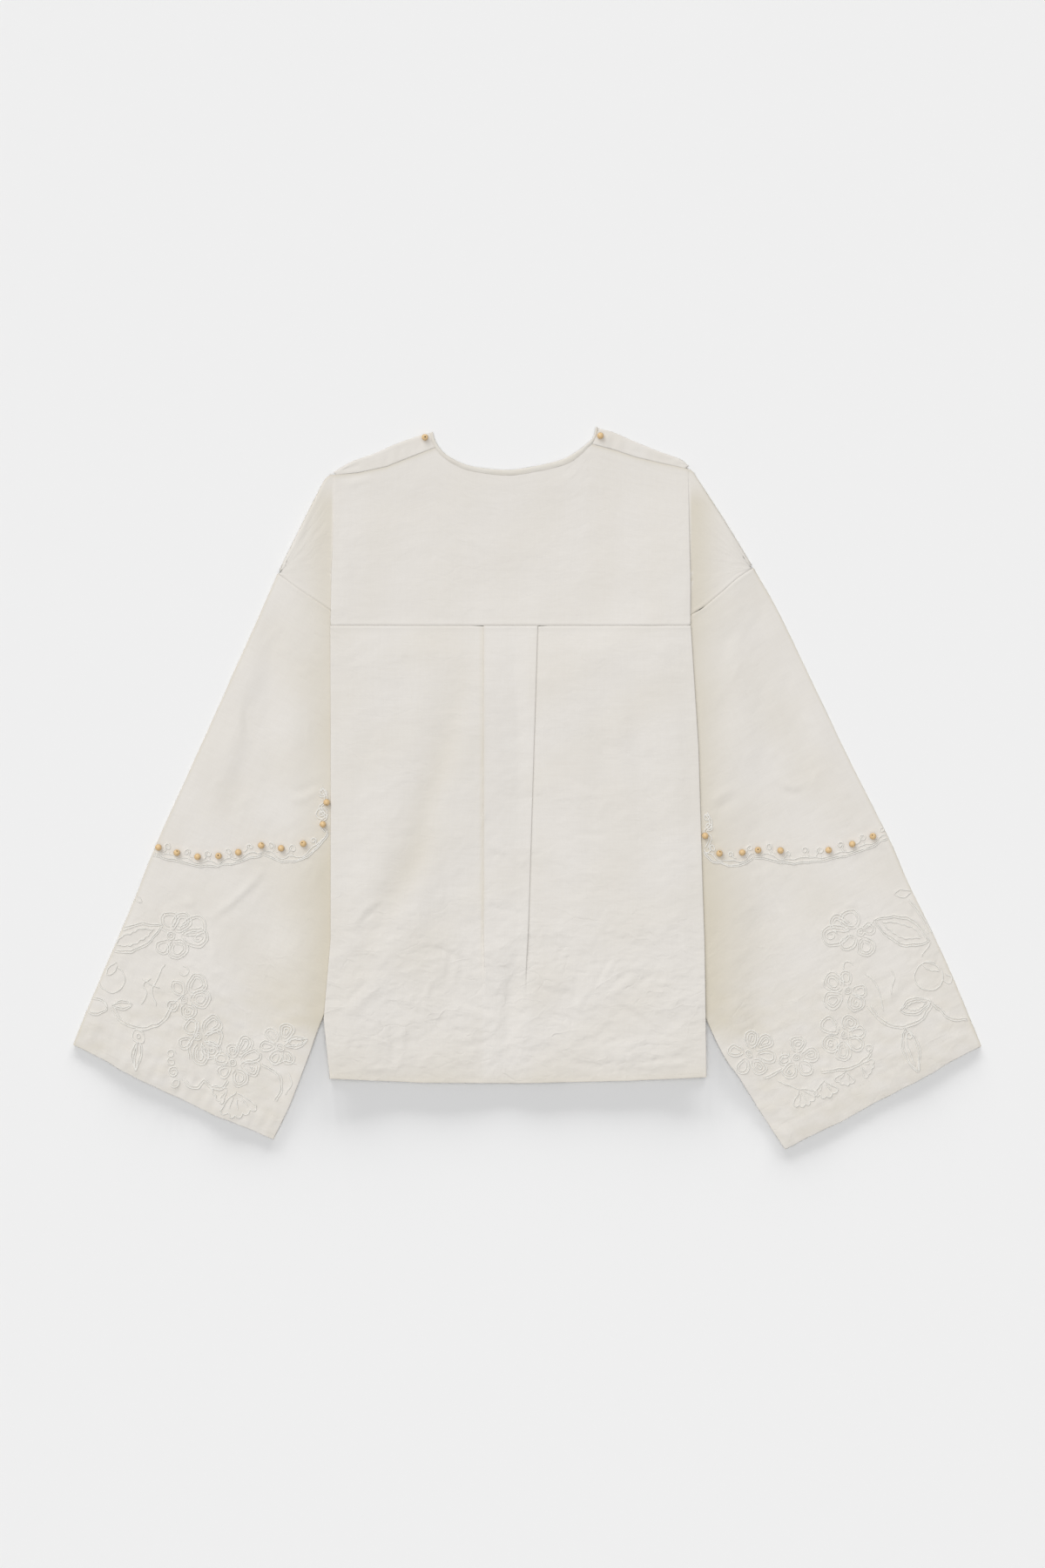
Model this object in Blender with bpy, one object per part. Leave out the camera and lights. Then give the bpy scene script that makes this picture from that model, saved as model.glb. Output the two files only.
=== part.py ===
"""A wide-sleeved embroidered blouse laid flat on its front, with its back up.

Every piece of cloth is a wall of one thickness. Each is drawn as the sheet that runs
through the middle of the wall, as a grid of sections worked out from the sizes below,
and a Solidify modifier gives the sheet its thickness. +X is to the right as the blouse
is seen from above, +Y runs from hem to neck, +Z is up. Sizes are in millimetres until a
mesh is made. The origin is in the middle of the underside.
"""
import math
from collections import namedtuple

import bmesh
import bpy
import numpy as np
from mathutils import Vector
from mathutils.bvhtree import BVHTree

MM = 0.001
CURVE_STEPS = 12

# Cloth
WALL = 1.0
SEAM_GAP = 0.3
FOLD_RADIUS = 0.8
FOLD_STEPS = 3
FOLD_STEP_HEIGHT = 2 * FOLD_RADIUS
HALF_WALL = WALL / 2
HALF_SEAM = SEAM_GAP / 2
CLOTH_COLOUR = (0.80, 0.765, 0.70, 1.0)
BINDING_COLOUR = (0.74, 0.70, 0.62, 1.0)
WOOD_COLOUR = (0.62, 0.40, 0.17, 1.0)

# Heights of the middle of each wall where the layers lie on each other
FRONT_Z = HALF_WALL
FRONT_RETURN_Z = FRONT_Z + FOLD_STEP_HEIGHT
SLEEVE_LIFT = FRONT_RETURN_Z + WALL + SEAM_GAP - FRONT_Z
SLEEVE_HOLLOW = 2.2
BACK_LOW_Z = FRONT_Z + WALL + SEAM_GAP
RETURNS_LIFT = 2 * FOLD_STEP_HEIGHT
OVER_SLEEVE_LIFT = SLEEVE_HOLLOW + WALL + SEAM_GAP

# Body
YOKE_SEAM_Y = 162.3
HEM_MIDDLE_Y = -292.0
PANEL_ROWS = 15
YOKE_ROWS = 8
SHADE_RAMP_NEAR = 36.0
SHADE_RAMP_FAR = 80.0
TOP_RAMP_NEAR = 20.0
TOP_RAMP_FAR = 110.0
RETURN_RAMP_NEAR = 10.0
RETURN_RAMP_FAR = 50.0
RETURN_STATIONS = (0.0, 0.16, 0.34, 0.52, 0.7, 0.86, 1.0)
BODY_MIDDLE_X = -9.0
BODY_HALF_WIDTH = 190.0
BODY_SWELL = 0.9
SWELL_ACROSS = 31.0
SWELL_DOWN = 160.0
SWELL_FADES_FROM_Y = 60.0
FRONT_ROWS = 8

# Box pleat at the middle of the back
PLEAT_LEFT_X = -43.6
PLEAT_RIGHT_TOP_X = 10.5
PLEAT_RIGHT_LOW_X = -3.5
PLEAT_DEPTH = 17.0
PLEAT_OPENS_FROM_Y = 60.0
PLEAT_FLAT_AT_Y = -120.0
PLEAT_GONE_AT_Y = -215.0
PLEAT_YOKE_RISE = 2.4
PLEAT_RISE_RAMP = 14.0
PLEAT_RISE_LENGTH = 45.0
LEAST_RETURN = 0.6
LEAST_ARC = 1.2

# Tapering side fold of the yoke
YOKE_FOLD_DEPTH = 6.0
YOKE_FOLD_RADIUS = 0.725
YOKE_FOLD_CLOSED = 0.9
LOBE_COLUMNS = 5
LOBE_END_X = 1.4
FOLD_EASE = 1.0
LEAST_TURN = 0.02
LEAST_RISE = 0.01

# Sleeves
SLEEVE_ROWS = 18
SLEEVE_COLUMNS = 11
SLEEVE_RAMP_NEAR = 29.0
SLEEVE_RAMP_FAR = 65.0
SLEEVE_SWELL = 1.5
SLEEVE_SWELL_RAMP = 60.0
SWELLS_ACROSS = 5.0
SWELLS_ALONG = 3.5
SEAM_SETTLES_BY = 0.25

# Rolled edge of the shoulder and upper arm: how far in, and how far down
ROLL_ROWS = ((2.8, 0.0), (1.5, 0.2), (0.75, 0.55), (HALF_WALL, 1.0))
ROLL_END_Z = 0.8
FRONT_INSET = 2.6
FRONT_TOP_INSET = 3.1
FRONT_POINT_INSET = 3.9
SEAM_EASE = 0.3
SLOPE_WINDOW = 5.0
BAND_COLUMNS = 8
BAND_ROWS = (1.0, 0.55)

# Trim
BINDING_THICK = 0.8
BINDING_STEPS = 24
NECK_INSET = 2.0
NECK_POINTS = 41
NECK_STARTS_IN = 6.5
NECK_ENDS_IN = 4.5
BINDING_TURN = 0.3
BEAD_RADIUS = 3.3
BEAD_FLATTEN = 0.9
BEAD_FOOT = 0.4
RAY_FROM_Z = 0.1
SURFACE_ROUGHNESS = 0.9
WOOD_ROUGHNESS = 0.45
BEAD_SEGMENTS = 8
BEAD_RINGS = 6

Point = namedtuple("Point", "x y")
EdgeRow = namedtuple("EdgeRow", "y x")
SeamRow = namedtuple("SeamRow", "along sag")
WidthRow = namedtuple("WidthRow", "along width")
Side = namedtuple(
    "Side",
    "name sign shoulder underarm arm_edge cuff_inner inner_edge seam fold shoulder_edge"
    " band_seam upper_arm beads",
)

LEFT = Side(
    name="left",
    sign=-1.0,
    shoulder=Point(-249.2, 214.9),
    underarm=Point(-60.4, 99.2),
    arm_edge=(Point(-278.7, 148.8), Point(-328.0, 39.2), Point(-372.0, -58.0),
              Point(-394.6, -115.3), Point(-431.9, -201.8), Point(-453.7, -255.3)),
    cuff_inner=Point(-253.2, -350.6),
    inner_edge=(Point(-130.0, -60.0), Point(-199.9, -219.8), Point(-217.4, -266.5),
                Point(-235.8, -314.8), Point(-253.2, -350.6)),
    seam=(SeamRow(0.0, 0.0), SeamRow(0.09, 2.4), SeamRow(0.19, 3.2),
          SeamRow(0.3, 4.2), SeamRow(0.6, 3.0), SeamRow(1.0, 0.0)),
    fold=(EdgeRow(-289.5, -197.1), EdgeRow(-232.7, -203.1), EdgeRow(-152.3, -196.2),
          EdgeRow(39.2, -196.1), EdgeRow(162.7, -196.5), EdgeRow(275.0, -194.4)),
    shoulder_edge=(Point(-96.7, 355.0), Point(-107.8, 352.3), Point(-131.7, 343.7),
                   Point(-153.5, 334.1), Point(-175.2, 326.3), Point(-193.5, 315.8)),
    band_seam=(Point(-91.2, 340.4), Point(-114.3, 331.4), Point(-140.4, 321.0),
               Point(-168.6, 315.0), Point(-191.5, 313.0)),
    upper_arm=(Point(-196.2, 313.4), Point(-202.2, 308.9), Point(-213.5, 287.1),
               Point(-231.0, 252.0)),
    beads=(Point(-368.0, -58.9), Point(-349.6, -64.2), Point(-328.9, -68.2),
           Point(-308.0, -67.5), Point(-288.3, -63.8), Point(-265.4, -56.9),
           Point(-245.5, -59.8), Point(-223.4, -55.2), Point(-203.8, -35.9),
           Point(-200.0, -14.0)),
)
RIGHT = Side(
    name="right",
    sign=1.0,
    shoulder=Point(225.8, 220.5),
    underarm=Point(38.8, 108.8),
    arm_edge=(Point(255.0, 168.8), Point(317.0, 39.2), Point(362.3, -51.3),
              Point(380.9, -94.0), Point(418.1, -171.2), Point(453.6, -256.7)),
    cuff_inner=Point(257.2, -360.6),
    inner_edge=(Point(111.3, -67.2), Point(183.8, -243.2), Point(213.2, -292.0),
                Point(237.5, -331.0), Point(257.2, -360.6)),
    seam=(SeamRow(0.0, 0.0), SeamRow(0.1, 1.4), SeamRow(0.17, 4.6),
          SeamRow(0.3, 9.2), SeamRow(0.6, 6.0), SeamRow(1.0, 0.0)),
    fold=(EdgeRow(-288.0, 178.9), EdgeRow(-161.0, 177.1), EdgeRow(-80.9, 174.5),
          EdgeRow(39.2, 171.0), EdgeRow(164.4, 163.1), EdgeRow(288.8, 163.6)),
    shoulder_edge=(Point(71.2, 359.6), Point(84.9, 356.0), Point(107.5, 346.3),
                   Point(131.4, 336.5), Point(152.3, 329.0), Point(161.5, 322.0)),
    band_seam=(Point(64.8, 343.6), Point(84.9, 338.4), Point(108.4, 330.6),
               Point(134.5, 324.5), Point(158.5, 319.5)),
    upper_arm=(Point(165.0, 317.0), Point(171.9, 306.6), Point(197.3, 267.6),
               Point(212.0, 243.5)),
    beads=(Point(177.4, -47.3), Point(191.7, -64.9), Point(214.5, -63.9), Point(230.3, -61.6),
           Point(252.7, -62.0), Point(300.7, -61.6), Point(324.3, -55.6),
           Point(344.9, -47.8)),
)
SIDES = (LEFT, RIGHT)
NECK_BEADS = (("left", Point(-102.1, 350.2)), ("right", Point(73.0, 351.8)))

HEM = (Point(-197.1, -289.5), Point(-106.0, -293.7), Point(-9.0, -294.3),
       Point(102.0, -291.8), Point(179.1, -288.2))
BACK_NECKLINE = (
    Point(-94.3, 355.8), Point(-90.8, 345.4), Point(-83.0, 335.0), Point(-69.0, 326.3),
    Point(-51.7, 321.0), Point(-19.5, 318.0), Point(8.8, 321.9), Point(33.6, 328.0),
    Point(47.5, 335.0), Point(58.8, 343.6), Point(65.8, 350.9), Point(68.4, 360.7),
)
FRONT_NECKLINE = (
    Point(-92.0, 348.0), Point(-72.0, 306.0), Point(-46.0, 276.0), Point(-13.0, 262.0),
    Point(20.0, 276.0), Point(46.0, 306.0), Point(66.0, 350.0),
)
YOKE_STATIONS = (-190.0, -168.6, -154.0, -140.4, -127.0, -114.3, -102.0, -91.2, -84.0,
                 -77.0, -69.0, -60.0, -50.0, -38.0, -24.0, -10.0, 4.0, 16.0, 27.0, 37.0,
                 46.0, 53.0, 59.0, 64.8, 75.0, 84.9, 97.0, 108.4, 121.0, 134.5, 147.0,
                 157.0)
BINDING_WIDTHS = (WidthRow(0.0, 3.0), WidthRow(0.25, 4.6), WidthRow(0.5, 5.6),
                  WidthRow(0.8, 5.6), WidthRow(0.9, 3.2), WidthRow(1.0, 2.4))


def smooth(low, high, value):
    """Runs softly from 0 where value is at low to 1 where it is at high."""
    share = np.clip((value - low) / (high - low), 0.0, 1.0)
    return share * share * (3.0 - 2.0 * share)


def curve(points, shares):
    """Points at these shares of the length of a Catmull-Rom curve through points."""
    knots = np.array(points, dtype=float)
    ends = np.vstack([2 * knots[0] - knots[1], knots, 2 * knots[-1] - knots[-2]])
    t = np.linspace(0.0, 1.0, CURVE_STEPS, endpoint=False)[:, None]
    parts = []
    for a, b, c, d in zip(ends[:-3], ends[1:-2], ends[2:-1], ends[3:]):
        parts.append(0.5 * (2 * b + (c - a) * t + (2 * a - 5 * b + 4 * c - d) * t ** 2
                            + (3 * b - a - 3 * c + d) * t ** 3))
    line = np.vstack(parts + [knots[-1:]])
    steps = np.hypot(*np.diff(line, axis=0).T)
    length = np.concatenate([[0.0], np.cumsum(steps)])
    where = np.asarray(shares) * length[-1]
    return np.column_stack([np.interp(where, length, line[:, k]) for k in (0, 1)])


def height_at(points, x):
    """The y of a left-to-right outline at x."""
    table = np.array(sorted(points))
    return np.interp(x, table[:, 0], table[:, 1])


def fold_x(side, y):
    """Where the side fold lies at height y."""
    table = np.array(side.fold)
    return np.interp(y, table[:, 0], table[:, 1])


def side_axes(side):
    """Unit vectors: out across the sleeve from its inner edge, and up off the armhole."""
    under = np.array(side.underarm)
    along = np.array(side.cuff_inner) - under
    along /= np.hypot(*along)
    across = np.array([along[1], -along[0]])
    if across[0] * side.sign < 0:
        across = -across
    chord = np.array(side.shoulder) - under
    chord /= np.hypot(*chord)
    up = np.array([-chord[1], chord[0]])
    if up[1] < 0:
        up = -up
    return across, up


def return_end_x(side, y):
    """Inner end of the cloth turned under: the side seam, then the armhole edge."""
    top = side.seam[3]
    under = np.array(side.underarm)
    chord = under - np.array(side.shoulder)
    meet = np.array(side.shoulder) + chord * top.along
    rows_y = [side.underarm.y, meet[1]]
    rows_x = [side.underarm.x, meet[0]]
    return np.interp(y, rows_y, rows_x)


def layers_under(side, x, y):
    """Height that the sleeve and the turned-under cloth give to the back at x, y."""
    across, up = side_axes(side)
    off_edge = (x - side.underarm.x) * across[0] + (y - side.underarm.y) * across[1]
    off_top = (x - side.underarm.x) * up[0] + (y - side.underarm.y) * up[1]
    below = 1.0 - smooth(TOP_RAMP_NEAR, TOP_RAMP_FAR, off_top)
    over_sleeve = smooth(-SHADE_RAMP_FAR, -SHADE_RAMP_NEAR, off_edge)
    inside = (return_end_x(side, y) - x) * side.sign
    over_return = 1.0 - smooth(RETURN_RAMP_NEAR, RETURN_RAMP_FAR, inside)
    return (RETURNS_LIFT * over_return + OVER_SLEEVE_LIFT * over_sleeve) * below


def back_height(x, y):
    """Middle of the back's wall at x, y, without its pleat."""
    layers = np.maximum(layers_under(LEFT, x, y), layers_under(RIGHT, x, y))
    middle = 1.0 - np.abs((x - BODY_MIDDLE_X) / BODY_HALF_WIDTH)
    wave = np.sin(x / SWELL_ACROSS + y / SWELL_DOWN) ** 2
    swell = BODY_SWELL * np.clip(middle, 0.0, 1.0) * wave
    low = 1.0 - smooth(SWELL_FADES_FROM_Y, YOKE_SEAM_Y, y)
    return BACK_LOW_Z + layers + swell * low


def sleeve_floor(side, x):
    """Middle of a sleeve's lower wall: on the floor, then up over the front's fold."""
    outside = (x - fold_x(side, 0.0)) * side.sign
    return FRONT_Z + SLEEVE_LIFT * (1.0 - smooth(SLEEVE_RAMP_NEAR, SLEEVE_RAMP_FAR, outside))


def z_fold(turn, depth, radius):
    """A Z fold: an arc up through turn, a run of depth, and the arc back.

    Returns the x and z of its points, one row for each value of turn, from the
    lower layer to the upper one, about the fold's own middle.
    """
    turn = np.maximum(np.atleast_1d(turn), LEAST_TURN)
    arc = np.maximum(radius * turn, LEAST_ARC)
    bend = arc / turn
    steps = np.linspace(0.0, 1.0, FOLD_STEPS + 1)[None, :] * turn[:, None]
    first_x = bend[:, None] * np.sin(steps)
    first_z = bend[:, None] * (1.0 - np.cos(steps))
    run_x = (depth * np.cos(turn))[:, None]
    run_z = (depth * np.sin(turn))[:, None]
    whole_x = 2.0 * first_x[:, -1:] + run_x
    whole_z = 2.0 * first_z[:, -1:] + run_z
    x = np.hstack([first_x, whole_x - first_x[:, ::-1]]) - whole_x / 2.0
    z = np.hstack([first_z, whole_z - first_z[:, ::-1]])
    return x, z


def new_material(name, colour, roughness):
    """A plain material of one colour."""
    material = bpy.data.materials.new(name)
    material.use_nodes = True
    shader = material.node_tree.nodes["Principled BSDF"]
    shader.inputs["Base Color"].default_value = colour
    shader.inputs["Roughness"].default_value = roughness
    shader.inputs["Metallic"].default_value = 0.0
    return material


def new_object(name, mesh, material):
    """An object in the scene with this mesh and material."""
    mesh.materials.append(material)
    mesh.shade_smooth()
    obj = bpy.data.objects.new(name, mesh)
    bpy.context.scene.collection.objects.link(obj)
    return obj


def grid_faces(rows, columns, first=0, closed=False):
    """Triangles of a grid of points, all split by the same diagonal."""
    last = columns if closed else columns - 1
    faces = []
    for i in range(rows - 1):
        for j in range(last):
            a = first + i * columns + j
            b = first + i * columns + (j + 1) % columns
            faces.append((a, b, b + columns))
            faces.append((a, b + columns, a + columns))
    return faces


def cloth(name, grids, material, closed=False, wall=WALL):
    """A wall of cloth through the grids of points given, each of rows by columns by 3."""
    points = []
    faces = []
    for grid in grids:
        rows, columns = grid.shape[:2]
        faces += grid_faces(rows, columns, len(points), closed)
        points += [tuple(p) for p in grid.reshape(-1, 3) * MM]
    mesh = bpy.data.meshes.new(name)
    mesh.from_pydata(points, [], faces)
    work = bmesh.new()
    work.from_mesh(mesh)
    bmesh.ops.remove_doubles(work, verts=work.verts, dist=0.02 * MM)
    bmesh.ops.recalc_face_normals(work, faces=work.faces)
    work.to_mesh(mesh)
    work.free()
    obj = new_object(name, mesh, material)
    thicken = obj.modifiers.new("Wall", "SOLIDIFY")
    thicken.thickness = wall * MM
    thicken.offset = 0.0
    thicken.use_even_offset = True
    return obj


def surface_of(obj):
    """A search tree of the object's finished mesh."""
    shown = obj.evaluated_get(bpy.context.evaluated_depsgraph_get())
    mesh = shown.to_mesh()
    tree = BVHTree.FromPolygons([v.co.copy() for v in mesh.vertices],
                                [tuple(p.vertices) for p in mesh.polygons])
    shown.to_mesh_clear()
    return tree


def top_of(tree, x, y):
    """Height of the upper face at x, y, in millimetres."""
    hit = tree.ray_cast(Vector((x * MM, y * MM, RAY_FROM_Z)), Vector((0.0, 0.0, -1.0)))
    return hit[0].z / MM


def fold_arc(side, x, z, going_up):
    """Half circle round a side fold whose outer face is at x, from layer to layer."""
    turn = np.linspace(0.0, math.pi, FOLD_STEPS + 1)[None, :]
    centre = x - side.sign * (HALF_WALL + FOLD_RADIUS)
    arc_x = centre[:, None] + side.sign * FOLD_RADIUS * np.sin(turn)
    lift = -np.cos(turn) if going_up else np.cos(turn)
    return arc_x, z[:, None] + FOLD_RADIUS * lift


def panel_rows_y(x, share):
    """Height on the back panel at share of the way from its hem to the yoke seam."""
    hem = height_at(HEM, x)
    return hem + (YOKE_SEAM_Y - HALF_SEAM - hem) * share


def make_back_panel(material):
    """The back below the yoke: turned-under sides, two side folds and the box pleat."""
    share = np.linspace(0.0, 1.0, PANEL_ROWS + 1)
    y = HEM_MIDDLE_Y + (YOKE_SEAM_Y - HALF_SEAM - HEM_MIDDLE_Y) * share
    stations = np.array(RETURN_STATIONS)
    halves = {}
    for side in SIDES:
        edge = fold_x(side, y)
        start = edge - side.sign * (HALF_WALL + FOLD_RADIUS)
        end = return_end_x(side, y)
        flat_x = start[:, None] + (end - start)[:, None] * stations[None, :]
        flat_z = back_height(flat_x, y[:, None])
        under = (flat_x[:, ::-1], flat_z[:, ::-1] - FOLD_STEP_HEIGHT)
        arc = fold_arc(side, edge, flat_z[:, 0] - FOLD_RADIUS, going_up=True)
        halves[side.name] = [under, (arc[0][:, 1:-1], arc[1][:, 1:-1]), (flat_x, flat_z)]
    opened = 1.0 - smooth(PLEAT_GONE_AT_Y, PLEAT_FLAT_AT_Y, y)
    turn = math.pi * (1.0 - opened)
    depth = LEAST_RETURN + PLEAT_DEPTH * smooth(PLEAT_FLAT_AT_Y, PLEAT_OPENS_FROM_Y, y)
    pleat_x, pleat_z = z_fold(turn, depth, FOLD_RADIUS)
    left_edge = np.full_like(y, PLEAT_LEFT_X)
    right_edge = PLEAT_RIGHT_LOW_X + (PLEAT_RIGHT_TOP_X - PLEAT_RIGHT_LOW_X) * share
    inset = (depth / 2.0 + FOLD_RADIUS + HALF_WALL)[:, None]
    left_x = left_edge[:, None] + inset + pleat_x
    right_x = (right_edge[:, None] - inset - pleat_x)[:, ::-1]
    rise_right = pleat_z[:, ::-1]
    flat_y = y[:, None]
    middle_x = 0.5 * (left_x[:, -1:] + right_x[:, :1])
    left_gap_x = 0.5 * (halves["left"][2][0][:, -1:] + left_x[:, :1])
    right_gap_x = 0.5 * (halves["right"][2][0][:, -1:] + right_x[:, -1:])
    strips = halves["left"] + [(left_gap_x, back_height(left_gap_x, flat_y))]
    strips += [(left_x, back_height(left_x, flat_y) + pleat_z)]
    strips += [(middle_x, back_height(middle_x, flat_y) + pleat_z[:, -1:])]
    strips += [(right_x, back_height(right_x, flat_y) + rise_right)]
    strips += [(right_gap_x, back_height(right_gap_x, flat_y))]
    strips += [(part[0][:, ::-1], part[1][:, ::-1]) for part in reversed(halves["right"])]
    x = np.hstack([part[0] for part in strips])
    z = np.hstack([part[1] for part in strips])
    rows_y = panel_rows_y(x, share[:, None] * np.ones_like(x))
    return cloth("back_panel", [np.dstack([x, rows_y, z])], material)


def seam_curve(side, shares):
    """The armhole seam from the shoulder point to the underarm."""
    table = np.array(side.seam)
    _, up = side_axes(side)
    start = np.array(side.shoulder)
    chord = np.array(side.underarm) - start
    sag = np.interp(shares, table[:, 0], table[:, 1])
    return start + np.outer(shares, chord) - sag[:, None] * up


def make_sleeve(side, material):
    """A straight tube laid flat, its upper end under the side fold of the body."""
    rows = np.linspace(0.0, 1.0, SLEEVE_ROWS + 1)
    across = np.linspace(0.0, 1.0, SLEEVE_COLUMNS + 1)
    outer = curve((side.shoulder,) + side.arm_edge, rows)
    inner = curve((side.underarm,) + side.inner_edge, rows)
    _, up = side_axes(side)
    top = seam_curve(side, across) - HALF_SEAM * up
    chord = outer[0] + np.outer(across, inner[0] - outer[0])
    width = np.hypot(*(inner - outer).T)
    inset = (HALF_WALL + SLEEVE_HOLLOW / 2.0) / width
    shares = inset[:, None] + (1.0 - 2.0 * inset)[:, None] * across[None, :]
    flat = outer[:, None, :] + (inner - outer)[:, None, :] * shares[:, :, None]
    settle = (1.0 - smooth(0.0, SEAM_SETTLES_BY, rows))[:, None, None]
    flat = flat + settle * (top - chord)[None, :, :]
    low_z = sleeve_floor(side, flat[:, :, 0])
    outside = (flat[:, :, 0] - fold_x(side, 0.0)) * side.sign
    free = smooth(SLEEVE_RAMP_FAR, SLEEVE_RAMP_FAR + SLEEVE_SWELL_RAMP, outside)
    wave = np.sin(SWELLS_ACROSS * across + SWELLS_ALONG * rows[:, None]) ** 2
    wave = np.sin(math.pi * across)[None, :] * wave
    high_z = low_z + SLEEVE_HOLLOW + SLEEVE_SWELL * free * wave
    turn = np.linspace(0.0, math.pi, FOLD_STEPS + 1)[1:-1]
    unit = (inner - outer) / width[:, None]

    def rim(column, way):
        centre = flat[:, column]
        middle = (low_z[:, column] + high_z[:, column]) / 2.0
        reach = (high_z[:, column] - low_z[:, column]) / 2.0
        points = [np.column_stack([centre + unit * (way * reach * math.sin(a))[:, None],
                                   middle - way * reach * math.cos(a)]) for a in turn]
        return np.stack(points, axis=1)

    upper = np.dstack([flat, high_z])
    lower = np.dstack([flat, low_z])[:, ::-1]
    around = np.concatenate([upper, rim(-1, 1.0)[:, ::-1], lower, rim(0, -1.0)[:, ::-1]], axis=1)
    return cloth("sleeve_" + side.name, [around], material, closed=True)


def yoke_border_y(x):
    """Upper border of the yoke: upper arms, band seams and back neckline."""
    points = [LEFT.shoulder, RIGHT.shoulder]
    for side in SIDES:
        points += side.upper_arm + side.band_seam
    first, last = LEFT.band_seam[0].x, RIGHT.band_seam[0].x
    neck = [tuple(p) for p in curve(BACK_NECKLINE, np.linspace(0.0, 1.0, NECK_POINTS))]
    points += [p for p in neck if first + NECK_STARTS_IN < p[0] < last - NECK_ENDS_IN]
    return height_at(points, x)


def seam_y(side, x):
    """Height of the armhole seam at x."""
    shares = np.linspace(0.0, 1.0, SLEEVE_COLUMNS + 1)
    return height_at([tuple(p) for p in seam_curve(side, shares)], x)


def lobe_height(side, x, y):
    """Middle of the yoke's wall outside its side fold, level with the sleeve."""
    _, up = side_axes(side)
    off_top = (x - side.underarm.x) * up[0] + (y - side.underarm.y) * up[1]
    below = 1.0 - smooth(TOP_RAMP_NEAR, TOP_RAMP_FAR, off_top)
    return BACK_LOW_Z + (sleeve_floor(side, x) + SLEEVE_HOLLOW - BACK_LOW_Z) * below


def yoke_height(x, y):
    """Middle of the yoke's wall between its side folds, raised where the pleat is caught."""
    wide = smooth(PLEAT_LEFT_X - PLEAT_RISE_RAMP, PLEAT_LEFT_X, x)
    wide = wide * (1.0 - smooth(PLEAT_RIGHT_TOP_X, PLEAT_RIGHT_TOP_X + PLEAT_RISE_RAMP, x))
    near = 1.0 - smooth(YOKE_SEAM_Y, YOKE_SEAM_Y + PLEAT_RISE_LENGTH, y)
    return back_height(x, y) + PLEAT_YOKE_RISE * wide * near


def yoke_side(side, share):
    """Columns of the yoke from its shoulder point in across its side fold."""
    low_y = YOKE_SEAM_Y + HALF_SEAM
    edge_y = float(yoke_border_y(side.fold[-1].x))
    y = low_y + (edge_y - low_y) * share
    edge = fold_x(side, y)
    lobe = lobe_height(side, edge, y)
    rise = back_height(edge, y) - lobe
    full = float(np.max(rise))
    closed = np.clip(rise / (full * YOKE_FOLD_CLOSED), 0.0, 1.0)
    turn = np.arccos(1.0 - 2.0 * closed)
    depth = LEAST_RETURN + YOKE_FOLD_DEPTH * smooth(YOKE_FOLD_CLOSED, 1.0, rise / full)
    x, z = z_fold(turn, depth, YOKE_FOLD_RADIUS)
    scale = rise / np.maximum(z[:, -1], LEAST_RISE)
    inset = depth / 2.0 + YOKE_FOLD_RADIUS + HALF_WALL
    fold = edge[:, None] - side.sign * (inset[:, None] + x)
    fold_z = lobe[:, None] + z * scale[:, None]
    outer = side.shoulder.x - side.sign * LOBE_END_X
    steps = np.linspace(0.0, 1.0, LOBE_COLUMNS, endpoint=False)[None, :]
    lobe_x = outer + (fold[:, :1] - outer) * steps
    return lobe_x, fold, fold_z


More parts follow.
